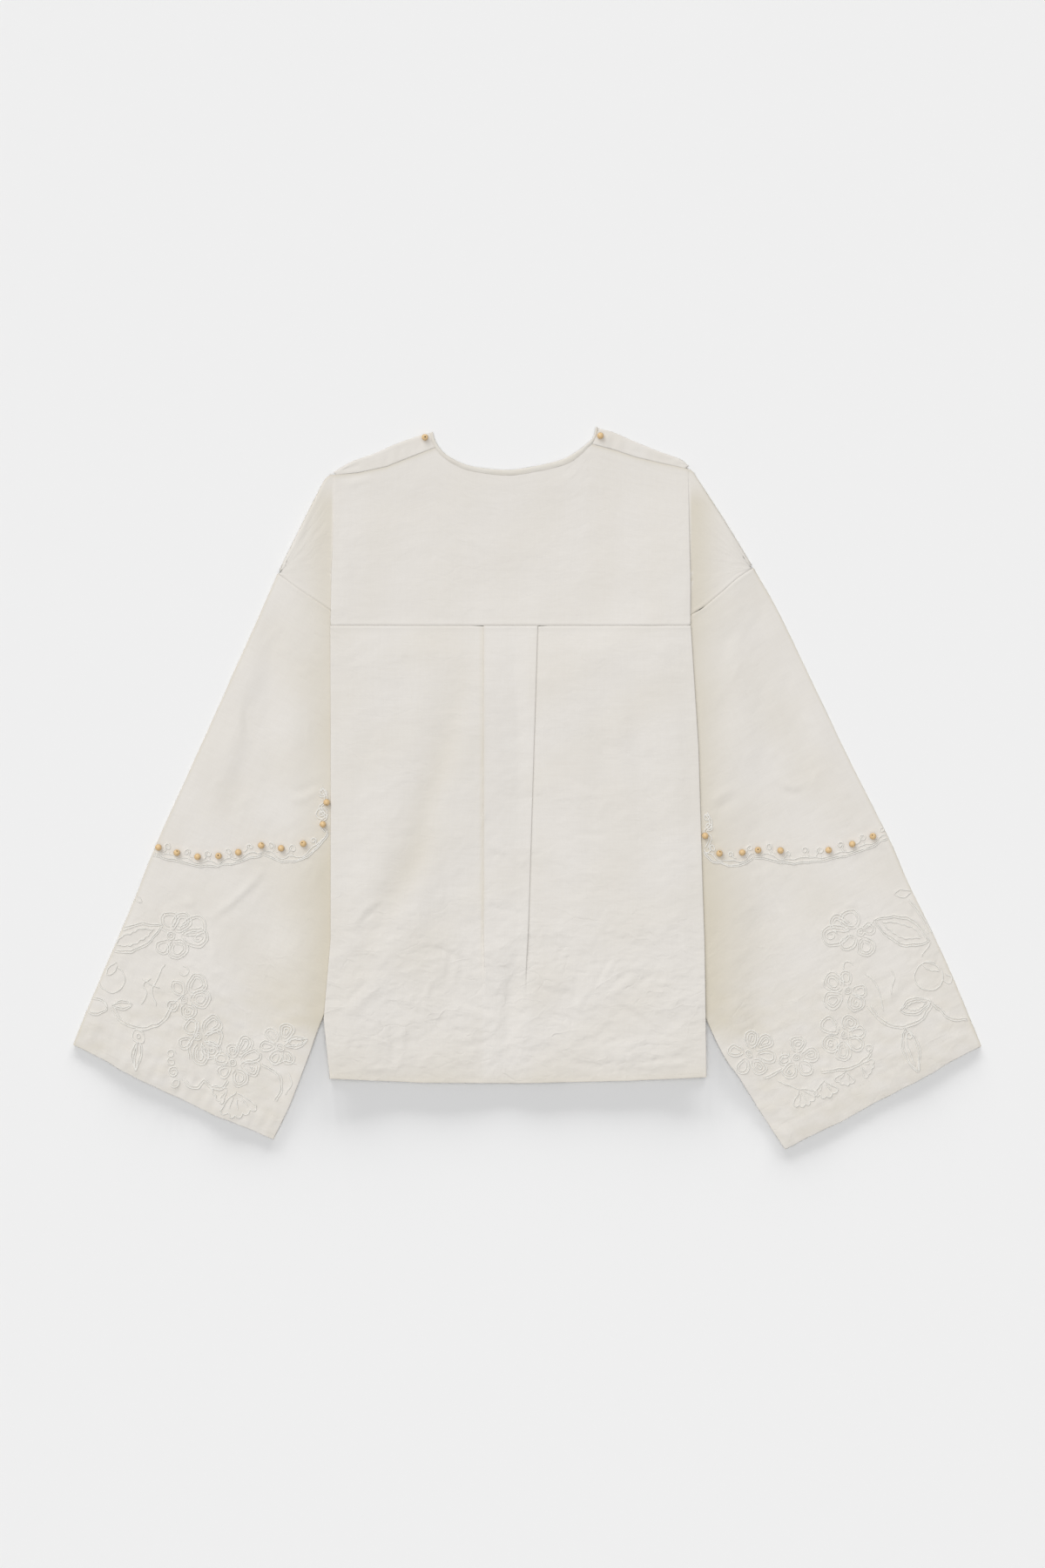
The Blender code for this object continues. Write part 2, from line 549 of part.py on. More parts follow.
def make_yoke(material):
    """The back yoke with its round neckline and its two lobes over the upper arms."""
    share = np.linspace(0.0, 1.0, YOKE_ROWS + 1)
    inner = {side.name: yoke_side(side, share) for side in SIDES}
    middle = np.tile(np.array(YOKE_STATIONS), (YOKE_ROWS + 1, 1))
    left_x, left_fold, left_z = inner["left"]
    right_x, right_fold, right_z = inner["right"]
    x = np.hstack([left_x, left_fold, middle, right_fold[:, ::-1], right_x[:, ::-1]])
    lobes = left_x.shape[1]
    folds = left_fold.shape[1]
    columns = x.shape[1]
    low = np.full(columns, YOKE_SEAM_Y + HALF_SEAM)
    half = folds // 2
    for side, way in ((LEFT, 1), (RIGHT, -1)):
        order = np.arange(columns)[::way]
        outside = order[:lobes + half]
        low[outside] = seam_y(side, x[0, outside]) + HALF_SEAM + SEAM_EASE
        low[outside[lobes:]] += FOLD_EASE
        between = order[lobes + half:lobes + folds]
        low[between] = np.linspace(low[outside[-1]], low[between[-1]], len(between) + 1)[1:]
    top_x = x[-1]
    top_y = yoke_border_y(top_x)
    window = SLOPE_WINDOW
    slope = (yoke_border_y(top_x + window) - yoke_border_y(top_x - window)) / (2.0 * window)
    inward = np.column_stack([slope, -np.ones_like(slope)])
    inward /= np.hypot(*inward.T)[:, None]
    rolled = 1.0 - smooth(LEFT.upper_arm[0].x - 4.0, LEFT.upper_arm[0].x - 1.0, top_x)
    rolled += smooth(RIGHT.upper_arm[0].x + 1.0, RIGHT.upper_arm[0].x + 4.0, top_x)
    at_neck = (top_x > LEFT.band_seam[0].x + 1.0) & (top_x < RIGHT.band_seam[0].x - 1.0)
    border = np.where(rolled > 0.5, HALF_WALL, np.where(at_neck, NECK_INSET, SEAM_EASE))
    start = np.column_stack([top_x, top_y]) + inward * ROLL_ROWS[0][0]
    y = low[None, :] + (start[:, 1] - low)[None, :] * share[:, None]
    x = x + (start[:, 0] - top_x)[None, :] * (share[:, None] ** 2)
    z = yoke_height(x, y)
    z[:, :lobes] = lobe_height(LEFT, x[:, :lobes], y[:, :lobes])
    z[:, -lobes:] = lobe_height(RIGHT, x[:, -lobes:], y[:, -lobes:])
    z[:, lobes:lobes + folds] = left_z
    z[:, -lobes - folds:-lobes] = right_z[:, ::-1]
    rows = [np.dstack([x, y, z])]
    for away, drop in ROLL_ROWS[1:]:
        reach = np.maximum(away, border) if away > HALF_WALL else border
        place = np.column_stack([top_x, top_y]) + inward * reach[:, None]
        lowered = z[-1] + (ROLL_END_Z - z[-1]) * drop * rolled
        rows.append(np.dstack([place[None, :, 0], place[None, :, 1], lowered[None, :]]))
    return cloth("back_yoke", [np.concatenate(rows, axis=0)], material)


def make_front_panel(material):
    """The front, flat on the floor, its sides turned up and in over itself."""
    share = np.linspace(0.0, 1.0, FRONT_ROWS + 1)
    y = HEM_MIDDLE_Y + (YOKE_SEAM_Y - HALF_SEAM - HEM_MIDDLE_Y) * share
    halves = []
    for side in SIDES:
        edge = fold_x(side, y)
        end = return_end_x(side, y)
        level = np.full_like(y, FRONT_Z)
        arc = fold_arc(side, edge, level + FOLD_RADIUS, going_up=False)
        x = np.hstack([end[:, None], arc[0]])
        z = np.hstack([level[:, None] + FOLD_STEP_HEIGHT, arc[1]])
        halves.append((x, z))
    inner = np.tile(np.array(YOKE_STATIONS), (len(share), 1))
    x = np.hstack([halves[0][0], inner, halves[1][0][:, ::-1]])
    z = np.hstack([halves[0][1], np.full_like(inner, FRONT_Z), halves[1][1][:, ::-1]])
    body = np.dstack([x, panel_rows_y(x, share[:, None] * np.ones_like(x)), z])
    across = body[-1, halves[0][0].shape[1] - 1:-halves[1][0].shape[1] + 1, 0]
    outline = [LEFT.shoulder, RIGHT.shoulder]
    for side in SIDES:
        outline += side.upper_arm + side.shoulder_edge[1:]
    necks = [p.x for p in FRONT_NECKLINE]
    outline = [p for p in outline if not necks[0] < p.x < necks[-1]]
    border = height_at(outline + list(FRONT_NECKLINE), across) - FRONT_TOP_INSET
    lower = np.full_like(across, YOKE_SEAM_Y - HALF_SEAM)
    middle = (lower + border) / 2.0
    grids = [body]
    for side, column in ((LEFT, 0), (RIGHT, -1)):
        middle[column] = seam_y(side, across[column]) + HALF_SEAM
        outer = side.shoulder.x - side.sign * (LOBE_END_X + FRONT_POINT_INSET)
        lobe_x = np.linspace(outer, across[column], LOBE_COLUMNS + 1)
        low = seam_y(side, lobe_x) + HALF_SEAM
        steep = np.hypot(1.0, np.gradient(height_at(outline, lobe_x), lobe_x))
        high = height_at(outline, lobe_x) - FRONT_INSET * steep
        high[-1] = border[column]
        level = np.full_like(lobe_x, FRONT_Z)
        grids.append(np.stack([np.column_stack([lobe_x, low, level]),
                               np.column_stack([lobe_x, high, level])]))
    level = np.full_like(across, FRONT_Z)
    grids.append(np.stack([np.column_stack([across, row, level])
                           for row in (lower, middle, border)]))
    return cloth("front_panel", grids, material)


def make_shoulder_band(side, material):
    """The band of the front that comes over the shoulder and rolls round its edge."""
    shares = np.linspace(0.0, 1.0, BAND_COLUMNS + 1)
    edge = curve(side.shoulder_edge, shares)
    table = np.array(side.band_seam)
    knots = np.linspace(0.0, 1.0, len(table))
    seam = np.column_stack([np.interp(shares, knots, table[:, k]) for k in (0, 1)])
    width = np.hypot(*(seam - edge).T)
    inward = (seam - edge) / width[:, None]
    rows = []
    for part in BAND_ROWS:
        place = edge + inward * (width * part - SEAM_EASE * (part == 1.0))[:, None]
        rows.append(np.column_stack([place, yoke_height(place[:, 0], place[:, 1])]))
    for away, drop in ROLL_ROWS:
        place = edge + inward * np.minimum(away, 0.5 * width)[:, None]
        level = yoke_height(place[:, 0], place[:, 1])
        rows.append(np.column_stack([place, level + (ROLL_END_Z - level) * drop]))
    return cloth("front_shoulder_" + side.name, [np.stack(rows)], material)


def make_neck_binding(material):
    """The binding: a strip over the yoke's neck edge, turned down over it."""
    shares = np.linspace(0.0, 1.0, BINDING_STEPS + 1)
    place = curve(BACK_NECKLINE, shares)
    along = np.gradient(place, axis=0)
    along /= np.hypot(*along.T)[:, None]
    into = np.column_stack([along[:, 1], -along[:, 0]])
    table = np.array(BINDING_WIDTHS)
    width = np.interp(shares, table[:, 0], table[:, 1])
    half = BINDING_THICK / 2.0
    top = BACK_LOW_Z + HALF_WALL + SEAM_GAP + half
    profile = ((width, top), (width / 2.0, top),
               (np.full_like(width, half + BINDING_TURN), top),
               (np.full_like(width, half), top - BINDING_TURN),
               (np.full_like(width, half), BACK_LOW_Z - HALF_WALL))
    rows = [np.column_stack([place + into * away[:, None], np.full_like(away, z)])
            for away, z in profile]
    return cloth("neck_binding", [np.stack(rows)], material, wall=BINDING_THICK)


def make_bead(name, place, under, material):
    """A wooden bead resting on the cloth below it."""
    tree = surface_of(under)
    reach = BEAD_RADIUS * BEAD_FLATTEN
    step = BEAD_RADIUS * BEAD_FOOT
    foot = [top_of(tree, place.x + step * i, place.y + step * j)
            for i in (-1, 0, 1) for j in (-1, 0, 1)]
    mesh = bpy.data.meshes.new(name)
    work = bmesh.new()
    bmesh.ops.create_uvsphere(work, u_segments=BEAD_SEGMENTS, v_segments=BEAD_RINGS,
                              radius=BEAD_RADIUS * MM)
    bmesh.ops.scale(work, vec=(1.0, 1.0, BEAD_FLATTEN), verts=work.verts)
    work.to_mesh(mesh)
    work.free()
    bead = new_object(name, mesh, material)
    bead.location = (place.x * MM, place.y * MM, (max(foot) + SEAM_GAP + reach) * MM)
    return bead


def remove_objects():
    """Empties the scene."""
    for obj in list(bpy.data.objects):
        bpy.data.objects.remove(obj, do_unlink=True)


def main():
    """Makes every piece of the blouse."""
    remove_objects()
    linen = new_material("linen", CLOTH_COLOUR, SURFACE_ROUGHNESS)
    trim = new_material("binding", BINDING_COLOUR, SURFACE_ROUGHNESS)
    wood = new_material("wood", WOOD_COLOUR, WOOD_ROUGHNESS)
    make_front_panel(linen)
    make_back_panel(linen)
    make_yoke(linen)
    make_neck_binding(trim)
    for side in SIDES:
        sleeve = make_sleeve(side, linen)
        for count, place in enumerate(side.beads, start=1):
            make_bead(f"bead_{side.name}_{count}", place, sleeve, wood)
    bands = {side.name: make_shoulder_band(side, linen) for side in SIDES}
    for name, place in NECK_BEADS:
        make_bead(f"bead_neck_{name}", place, bands[name], wood)


main()
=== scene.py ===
"""The finished look of a wide-sleeved embroidered blouse, laid flat with its back up.

Every piece of cloth is a height worked out over x and y, from the same sizes as the
blouse's solids, with its creases laid on top. +X is to the right as the blouse is seen
from above, +Y runs from hem to neck and +Z is up. Sizes are in millimetres until a mesh
is made. The origin is in the middle of the underside.
"""
from __future__ import annotations

import logging
import math
from dataclasses import dataclass, field
from enum import Enum
from typing import Callable, ClassVar, NamedTuple, Sequence

import bmesh
import bpy
import numpy as np
from bpy.types import Material, Mesh, Node, NodeSocket, NodeTree, Object
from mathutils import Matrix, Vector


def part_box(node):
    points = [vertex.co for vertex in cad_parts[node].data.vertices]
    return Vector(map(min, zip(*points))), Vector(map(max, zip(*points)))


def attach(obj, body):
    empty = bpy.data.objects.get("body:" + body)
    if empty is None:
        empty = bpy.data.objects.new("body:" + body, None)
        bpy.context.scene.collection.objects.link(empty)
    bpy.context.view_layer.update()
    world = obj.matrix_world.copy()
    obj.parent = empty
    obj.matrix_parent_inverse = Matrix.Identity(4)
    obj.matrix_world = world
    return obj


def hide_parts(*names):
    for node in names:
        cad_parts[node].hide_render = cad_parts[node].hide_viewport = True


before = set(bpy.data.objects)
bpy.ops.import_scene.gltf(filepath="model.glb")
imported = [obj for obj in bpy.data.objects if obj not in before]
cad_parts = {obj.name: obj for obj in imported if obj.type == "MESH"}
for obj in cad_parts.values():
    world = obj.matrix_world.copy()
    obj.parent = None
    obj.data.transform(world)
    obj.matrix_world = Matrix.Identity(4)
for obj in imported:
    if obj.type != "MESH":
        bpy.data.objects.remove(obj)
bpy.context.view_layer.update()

logging.basicConfig(level=logging.INFO, format="%(message)s")
log = logging.getLogger("blouse")

Array = np.ndarray
MM = 0.001
BODY = "root"
CURVE_STEPS = 12

# Cloth walls: that of the solids, whose outline is kept, and the thinner one shown
SOLID_WALL = 1
WALL = 0.6
HALF = WALL / 2
SEAM_GAP = 0.3
HALF_SEAM = SEAM_GAP / 2
CLOSE_SEAM = 0.06
FOLD_RADIUS = 0.55
FOLD_STEP = 2 * FOLD_RADIUS

# Heights of the middle of each wall where the layers lie on each other
FRONT_Z = SOLID_WALL / 2
SLEEVE_HOLLOW = 2.2
SLEEVE_LIFT = FOLD_STEP + SOLID_WALL + SEAM_GAP
BACK_LOW_Z = FRONT_Z + SOLID_WALL + SEAM_GAP
RETURNS_LIFT = 2 * FOLD_STEP
OVER_SLEEVE_LIFT = SLEEVE_HOLLOW + SOLID_WALL + SEAM_GAP

YOKE_SEAM_Y = 162.3
HEM_MIDDLE_Y = -292
SLEEVE_WIDTH = 220
SLEEVE_LENGTH = 497
SLEEVE_OUTER_LENGTH = 530
INNER_LEFT_X = -190
INNER_RIGHT_X = 157
INNER_WIDTH = INNER_RIGHT_X - INNER_LEFT_X
GRAIN = "grain"
# Painted attribute: warm tone in soft patches, and painted shade beside folds, in creases, at rims
# and in bead bores
TONE_AND_SHADE = "tone_and_shade"
WORN = "worn"

# What lies under the back and the yoke
UNDER_BACK = ["front_panel_cloth", "sleeve_left_cloth", "sleeve_right_cloth"]


class Point(NamedTuple):
    """A place on the table, in millimetres."""

    x: float
    y: float


class EdgeRow(NamedTuple):
    """Where an upright edge lies at one height."""

    y: float
    x: float


class SeamRow(NamedTuple):
    """How far a seam sags off its chord, at a share of its length."""

    along: float
    sag: float


class WidthRow(NamedTuple):
    """The width of a strip at a share of its length."""

    along: float
    width: float


def table(kind: type, *rows: tuple) -> tuple:
    """Rows whose columns have the names that kind gives them."""
    return tuple(kind(*row) for row in rows)


def smooth(low: float, high: float, value: Array) -> Array:
    """Runs softly from 0 where value is at low to 1 where it is at high."""
    share = np.clip((value - low) / (high - low), 0, 1)
    return share * share * (3 - 2 * share)


def lengths(line: Array) -> Array:
    """How far along a line each of its points lies."""
    steps = np.linalg.norm(np.diff(line, axis=0), axis=1)
    return np.concatenate([[0], np.cumsum(steps)])


def curve(points: Sequence, shares: Array) -> Array:
    """Reads a smooth curve through points: in each stretch the Catmull-Rom cubic.

    Args:
        points: the places that it passes through.
        shares: shares of its length, from 0 to 1.

    Returns:
        One row of coordinates for each share.
    """
    knots = np.array(points, dtype=float)
    ends = np.vstack([2 * knots[0] - knots[1], knots, 2 * knots[-1] - knots[-2]])
    t = np.linspace(0, 1, CURVE_STEPS, endpoint=False)[:, None]
    parts = []
    for a, b, c, d in zip(ends[:-3], ends[1:-2], ends[2:-1], ends[3:]):
        parts.append(0.5 * (2 * b + (c - a) * t + (2 * a - 5 * b + 4 * c - d) * t ** 2
                            + (3 * b - a - 3 * c + d) * t ** 3))
    line = np.vstack(parts + [knots[-1:]])
    length = lengths(line)
    where = np.asarray(shares) * length[-1]
    return np.column_stack([np.interp(where, length, line[:, k]) for k in range(line.shape[1])])


def even(points: Sequence, step: float) -> Array:
    """Points a step apart along the smooth curve through points."""
    knots = np.array(points, dtype=float)
    count = max(4, int(round(lengths(knots)[-1] / step)) + 1)
    return curve(knots, np.linspace(0, 1, count))


def read(rows: Sequence, at: Array) -> Array:
    """Reads the second column of a table where its growing first one is at."""
    return np.interp(at, *np.array(rows).T)


def outline_y(points: Sequence, x: Array) -> Array:
    """The y of an outline at x."""
    return read(sorted(tuple(p) for p in points), x)


def unit(vectors: Array) -> Array:
    """Vectors in a plane, each drawn out or in to a length of 1."""
    return vectors / np.hypot(*vectors.T)[:, None]


def stations(length: float, step: float, starts: Sequence[float] = (0,),
             ends: Sequence[float] = (0,)) -> Array:
    """Shares of a length, a step apart, with closer ones at both ends.

    Args:
        length: the whole length.
        step: the usual distance between stations.
        starts: distances of the first ones from the start.
        ends: distances of the last ones from the end, growing.

    Returns:
        Growing shares from 0 to 1.
    """
    first, last = starts[-1], length - ends[-1]
    count = max(2, int(round((last - first) / step)) + 1)
    middle = np.linspace(first, last, count)
    whole = np.concatenate([starts[:-1], middle, [length - e for e in ends[-2::-1]]])
    return whole / length


def ripple(x: Array, y: Array, size: float, seed: int) -> Array:
    """Soft unevenness between about -1 and 1: the mean of six sines in six directions.

    Args:
        x: places across.
        y: places up.
        size: about how long the waves are.
        seed: picks their directions and phases.

    Returns:
        The unevenness at each place.
    """
    draw = np.random.default_rng(seed)
    total = np.zeros_like(x)
    for turn, phase, stretch in draw.uniform(0, 1, (6, 3)):
        angle = math.pi * turn
        wave = 2 * math.pi / (size * (0.7 + 0.8 * stretch))
        total = total + np.sin(wave * (x * math.cos(angle) + y * math.sin(angle))
                               + 2 * math.pi * phase)
    return total / 3


@dataclass(frozen=True)
class Crease:
    """A soft ridge, or a trough where its height is below 0, along a curve."""

    path: tuple
    width: float
    height: float
    lean: float = 0

    def relief(self, x: Array, y: Array) -> Array:
        """How far the crease lifts the cloth.

        The height, times a bell of the distance from the curve, steeper on one side
        by lean, times a half sine along it, so that both ends fade.

        Args:
            x: places across.
            y: places up.

        Returns:
            The lift at each place.
        """
        line = curve(self.path, np.linspace(0, 1, 4 * len(self.path)))
        reach = 3 * self.width
        low, high = line.min(axis=0) - reach, line.max(axis=0) + reach
        near = (x > low[0]) & (x < high[0]) & (y > low[1]) & (y < high[1])
        lift = np.zeros_like(x)
        if not near.any():
            return lift
        start, run = line[:-1], np.diff(line, axis=0)
        away = np.stack([x[near], y[near]], axis=1)[:, None, :] - start[None]
        along = np.clip((away * run[None]).sum(axis=2) / (run ** 2).sum(axis=1), 0, 1)
        off = away - along[:, :, None] * run[None]
        distance = np.hypot(off[:, :, 0], off[:, :, 1])
        best = distance.argmin(axis=1)
        rows = np.arange(len(best))
        part = off[rows, best]
        turned = np.sign(run[best, 0] * part[:, 1] - run[best, 1] * part[:, 0])
        scaled = distance[rows, best] / self.width
        share = (best + along[rows, best]) / len(run)
        bell = np.exp(-scaled ** 2) * (1 + self.lean * turned * np.tanh(scaled))
        lift[near] = self.height * np.sin(math.pi * np.clip(share, 0, 1)) ** 0.7 * bell
        return lift


def crease_table(*rows: tuple) -> tuple:
    """Creases from rows of width, height, lean and the places on the path."""
    return tuple(Crease(tuple(path), width, height, lean)
                 for width, height, lean, *path in rows)


def creased(creases: Sequence[Crease], x: Array, y: Array) -> Array:
    """The lift of all these creases together."""
    total = np.zeros_like(x)
    for crease in creases:
        total = total + crease.relief(x, y)
    return total


class Scatter(NamedTuple):
    """Small creases strewn over a patch, told by their usual sizes."""

    low: tuple
    high: tuple
    count: int
    length: float
    width: float
    height: float
    angle: float
    spread: float
    seed: int

    def creases(self) -> list[Crease]:
        """Draws the creases: each a short bowed line, half of them troughs."""
        draw = np.random.default_rng(self.seed)
        made = []
        for a, b, c, d, e, f, g in draw.uniform(0, 1, (self.count, 7)):
            middle = np.array(self.low) + np.array([a, b]) * (np.array(self.high) - self.low)
            turn = math.radians(self.angle + self.spread * (2 * c - 1))
            half = 0.5 * self.length * (0.5 + d) * np.array([math.cos(turn), math.sin(turn)])
            bow = np.array([-half[1], half[0]]) * 0.5 * (e - 0.5)
            size = self.height * (0.5 + f)
            made.append(Crease((tuple(middle - half), tuple(middle + bow), tuple(middle + half)),
                               self.width * (0.7 + 0.6 * g), size if f > 0.4 else -0.7 * size,
                               0.5 if e > 0.5 else -0.5))
        return made


@dataclass(frozen=True)
class Side:
    """One half of the blouse: its outlines, its folds and its armhole."""

    name: str
    sign: float
    shoulder: Point
    underarm: Point
    arm_edge: tuple
    cuff_inner: Point
    inner_edge: tuple
    seam: tuple
    fold: tuple
    shoulder_edge: tuple
    band_seam: tuple
    upper_arm: tuple
    cuff_bulge: float

    @property
    def along(self) -> Array:
        """Unit vector down the sleeve, from its underarm to its cuff."""
        line = np.array(self.cuff_inner) - np.array(self.underarm)
        return line / np.hypot(*line)

    @property
    def across(self) -> Array:
        """Unit vector out across the sleeve from its inner edge."""
        vector = np.array([self.along[1], -self.along[0]])
        return vector if vector[0] * self.sign > 0 else -vector

    @property
    def up(self) -> Array:
        """Unit vector up off the armhole's chord."""
        chord = np.array(self.shoulder) - np.array(self.underarm)
        vector = np.array([-chord[1], chord[0]]) / np.hypot(*chord)
        return vector if vector[1] > 0 else -vector

    def fold_x(self, y: Array) -> Array:
        """Where the side fold lies at height y."""
        return read(self.fold, y)

    def outside(self, x: Array) -> Array:
        """How far out past the side fold x lies."""
        return (x - float(self.fold_x(0))) * self.sign

    def measured(self, way: Array, x: Array, y: Array) -> Array:
        """Distance from the underarm along a unit vector."""
        return (x - self.underarm.x) * way[0] + (y - self.underarm.y) * way[1]

    def off_armhole(self, x: Array, y: Array) -> Array:
        """Distance up off the armhole's chord."""
        return self.measured(self.up, x, y)

    def off_inner_edge(self, x: Array, y: Array) -> Array:
        """Distance out from the sleeve's inner edge."""
        return self.measured(self.across, x, y)

    def return_end_x(self, y: Array) -> Array:
        """Inner end of the cloth turned under: the side seam, then the armhole edge."""
        chord = np.array(self.underarm) - np.array(self.shoulder)
        meet = np.array(self.shoulder) + chord * self.seam[3].along
        return np.interp(y, [self.underarm.y, meet[1]], [self.underarm.x, meet[0]])

    def turned_in(self, y: Array, shares: Array, turn: Array) -> tuple[Array, Array, Array]:
        """The x of the fold's middle, of the strip from the seam to it, and of its arc."""
        start = (self.fold_x(y) - self.sign * (HALF + FOLD_RADIUS))[:, None]
        end = self.return_end_x(y)[:, None]
        arc = start + self.sign * FOLD_RADIUS * np.sin(turn)
        return start, end + (start - end) * shares, arc

    def layers_under(self, x: Array, y: Array) -> Array:
        """Height that the sleeve and the turned-under cloth give to the back."""
        below = 1 - smooth(0, 150, self.off_armhole(x, y))
        over_sleeve = smooth(-105, -10, self.off_inner_edge(x, y))
        inside = (self.return_end_x(y) - x) * self.sign
        over_return = 1 - smooth(0, 95, inside)
        return (RETURNS_LIFT * over_return + OVER_SLEEVE_LIFT * over_sleeve) * below

    def sleeve_floor(self, x: Array) -> Array:
        """Middle of the sleeve's lower wall: on the floor, then up over the front."""
        return FRONT_Z + SLEEVE_LIFT * (1 - smooth(29, 65, self.outside(x)))

    def seam_curve(self, shares: Array) -> Array:
        """The armhole seam from the shoulder point to the underarm."""
        start = np.array(self.shoulder)
        chord = np.array(self.underarm) - start
        sag = read(self.seam, shares)
        return start + np.outer(shares, chord) - sag[:, None] * self.up

    def seam_y(self, x: Array) -> Array:
        """Height of the armhole seam at x."""
        return outline_y(self.seam_curve(np.linspace(0, 1, 12)), x)

    def lobe_height(self, x: Array, y: Array) -> Array:
        """Middle of the yoke's wall outside its side fold, level with the sleeve."""
        below = 1 - smooth(0, 150, self.off_armhole(x, y))
        return BACK_LOW_Z + (self.sleeve_floor(x) + SLEEVE_HOLLOW - BACK_LOW_Z) * below

    def arm_x(self, y: Array) -> Array:
        """Where the sleeve's outer edge lies at height y."""
        line = curve((self.shoulder,) + self.arm_edge, np.linspace(0, 1, 60))[::-1]
        return np.interp(y, line[:, 1], line[:, 0])


LEFT = Side(
    name="left",
    sign=-1,
    shoulder=Point(-249.2, 214.9),
    underarm=Point(-60.4, 99.2),
    arm_edge=table(Point, (-278.7, 148.8), (-328, 39.2), (-372, -58), (-394.6, -115.3),
                   (-431.9, -201.8), (-453.7, -255.3)),
    cuff_inner=Point(-253.2, -350.6),
    inner_edge=table(Point, (-130, -60), (-199.9, -219.8), (-217.4, -266.5), (-235.8, -314.8),
                     (-253.2, -350.6)),
    seam=table(SeamRow, (0, 0), (0.09, 2.4), (0.19, 3.2), (0.3, 4.2), (0.6, 3), (1, 0)),
    fold=table(EdgeRow, (-289.5, -197.1), (-232.7, -203.1), (-152.3, -196.2), (39.2, -196.1),
               (162.7, -196.5), (275, -194.4)),
    shoulder_edge=table(Point, (-96.7, 355), (-107.8, 352.3), (-131.7, 343.7), (-153.5, 334.1),
                        (-175.2, 326.3), (-193.5, 315.8)),
    band_seam=table(Point, (-91.2, 340.4), (-114.3, 331.4), (-140.4, 321), (-168.6, 315),
                    (-191.5, 313)),
    upper_arm=table(Point, (-196.2, 313.4), (-202.2, 308.9), (-213.5, 287.1), (-231, 252)),
    cuff_bulge=3.6,
)
RIGHT = Side(
    name="right",
    sign=1,
    shoulder=Point(225.8, 220.5),
    underarm=Point(38.8, 108.8),
    arm_edge=table(Point, (255, 168.8), (317, 39.2), (362.3, -51.3), (380.9, -94), (418.1, -171.2),
                   (453.6, -256.7)),
    cuff_inner=Point(257.2, -360.6),
    inner_edge=table(Point, (111.3, -67.2), (183.8, -243.2), (213.2, -292), (237.5, -331),
                     (257.2, -360.6)),
    seam=table(SeamRow, (0, 0), (0.1, 1.4), (0.17, 4.6), (0.3, 9.2), (0.6, 6), (1, 0)),
    fold=table(EdgeRow, (-288, 178.9), (-161, 177.1), (-80.9, 174.5), (39.2, 171), (164.4, 163.1),
               (288.8, 163.6)),
    shoulder_edge=table(Point, (71.2, 359.6), (84.9, 356), (107.5, 346.3), (131.4, 336.5),
                        (152.3, 329), (161.5, 322)),
    band_seam=table(Point, (64.8, 343.6), (84.9, 338.4), (108.4, 330.6), (134.5, 324.5),
                    (158.5, 319.5)),
    upper_arm=table(Point, (165, 317), (171.9, 306.6), (197.3, 267.6), (212, 243.5)),
    cuff_bulge=1.2,
)
SIDES = (LEFT, RIGHT)

HEM = table(Point, (-197.1, -289.5), (-106, -293.7), (-9, -294.3), (102, -291.8), (179.1, -288.2))
BACK_NECKLINE = table(Point, (-94.3, 355.8), (-90.8, 345.4), (-83, 335), (-69, 326.3), (-51.7, 321),
                      (-19.5, 318), (8.8, 321.9), (33.6, 328), (47.5, 335), (58.8, 343.6),
                      (65.8, 350.9), (68.4, 360.7))
FRONT_NECKLINE = table(Point, (-92, 348), (-72, 306), (-46, 276), (-13, 262), (20, 276), (46, 306),
                       (66, 350))

PLEAT_LEFT_X = -43.6
PLEAT_RIGHT_TOP_X = 10.5
PLEAT_RIGHT_LOW_X = -3.5
PLEAT_DEPTH = 17
PLEAT_RADIUS = 0.37
PLEAT_FLAT_AT_Y = -120
PLEAT_GONE_AT_Y = -215
LEAST_RETURN = 0.6


def back_height(x: Array, y: Array) -> Array:
    """Middle of the back's wall, without its pleat: the layers below and a soft swell."""
    layers = np.maximum(LEFT.layers_under(x, y), RIGHT.layers_under(x, y))
    middle = np.clip(1 - np.abs((x + 9) / 190), 0, 1)
    swell = 0.9 * middle * np.sin(x / 31 + y / 160) ** 2
    return BACK_LOW_Z + layers + swell * (1 - smooth(60, YOKE_SEAM_Y, y))


def yoke_height(x: Array, y: Array) -> Array:
    """Middle of the yoke's wall between its side folds, raised where the pleat is caught."""
    wide = smooth(PLEAT_LEFT_X - 14, PLEAT_LEFT_X, x)
    wide = wide * (1 - smooth(PLEAT_RIGHT_TOP_X, PLEAT_RIGHT_TOP_X + 14, x))
    near = 1 - smooth(YOKE_SEAM_Y, YOKE_SEAM_Y + 45, y)
    return back_height(x, y) + 1.1 * wide * near


def yoke_border_y(x: Array) -> Array:
    """Upper border of the yoke: upper arms, band seams and back neckline."""
    points = [LEFT.shoulder, RIGHT.shoulder]
    for side in SIDES:
        points += side.upper_arm + side.band_seam
    first, last = LEFT.band_seam[0].x + 6.5, RIGHT.band_seam[0].x - 4.5
    neck = curve(BACK_NECKLINE, np.linspace(0, 1, 41))
    points += [tuple(p) for p in neck if first < p[0] < last]
    return outline_y(points, x)


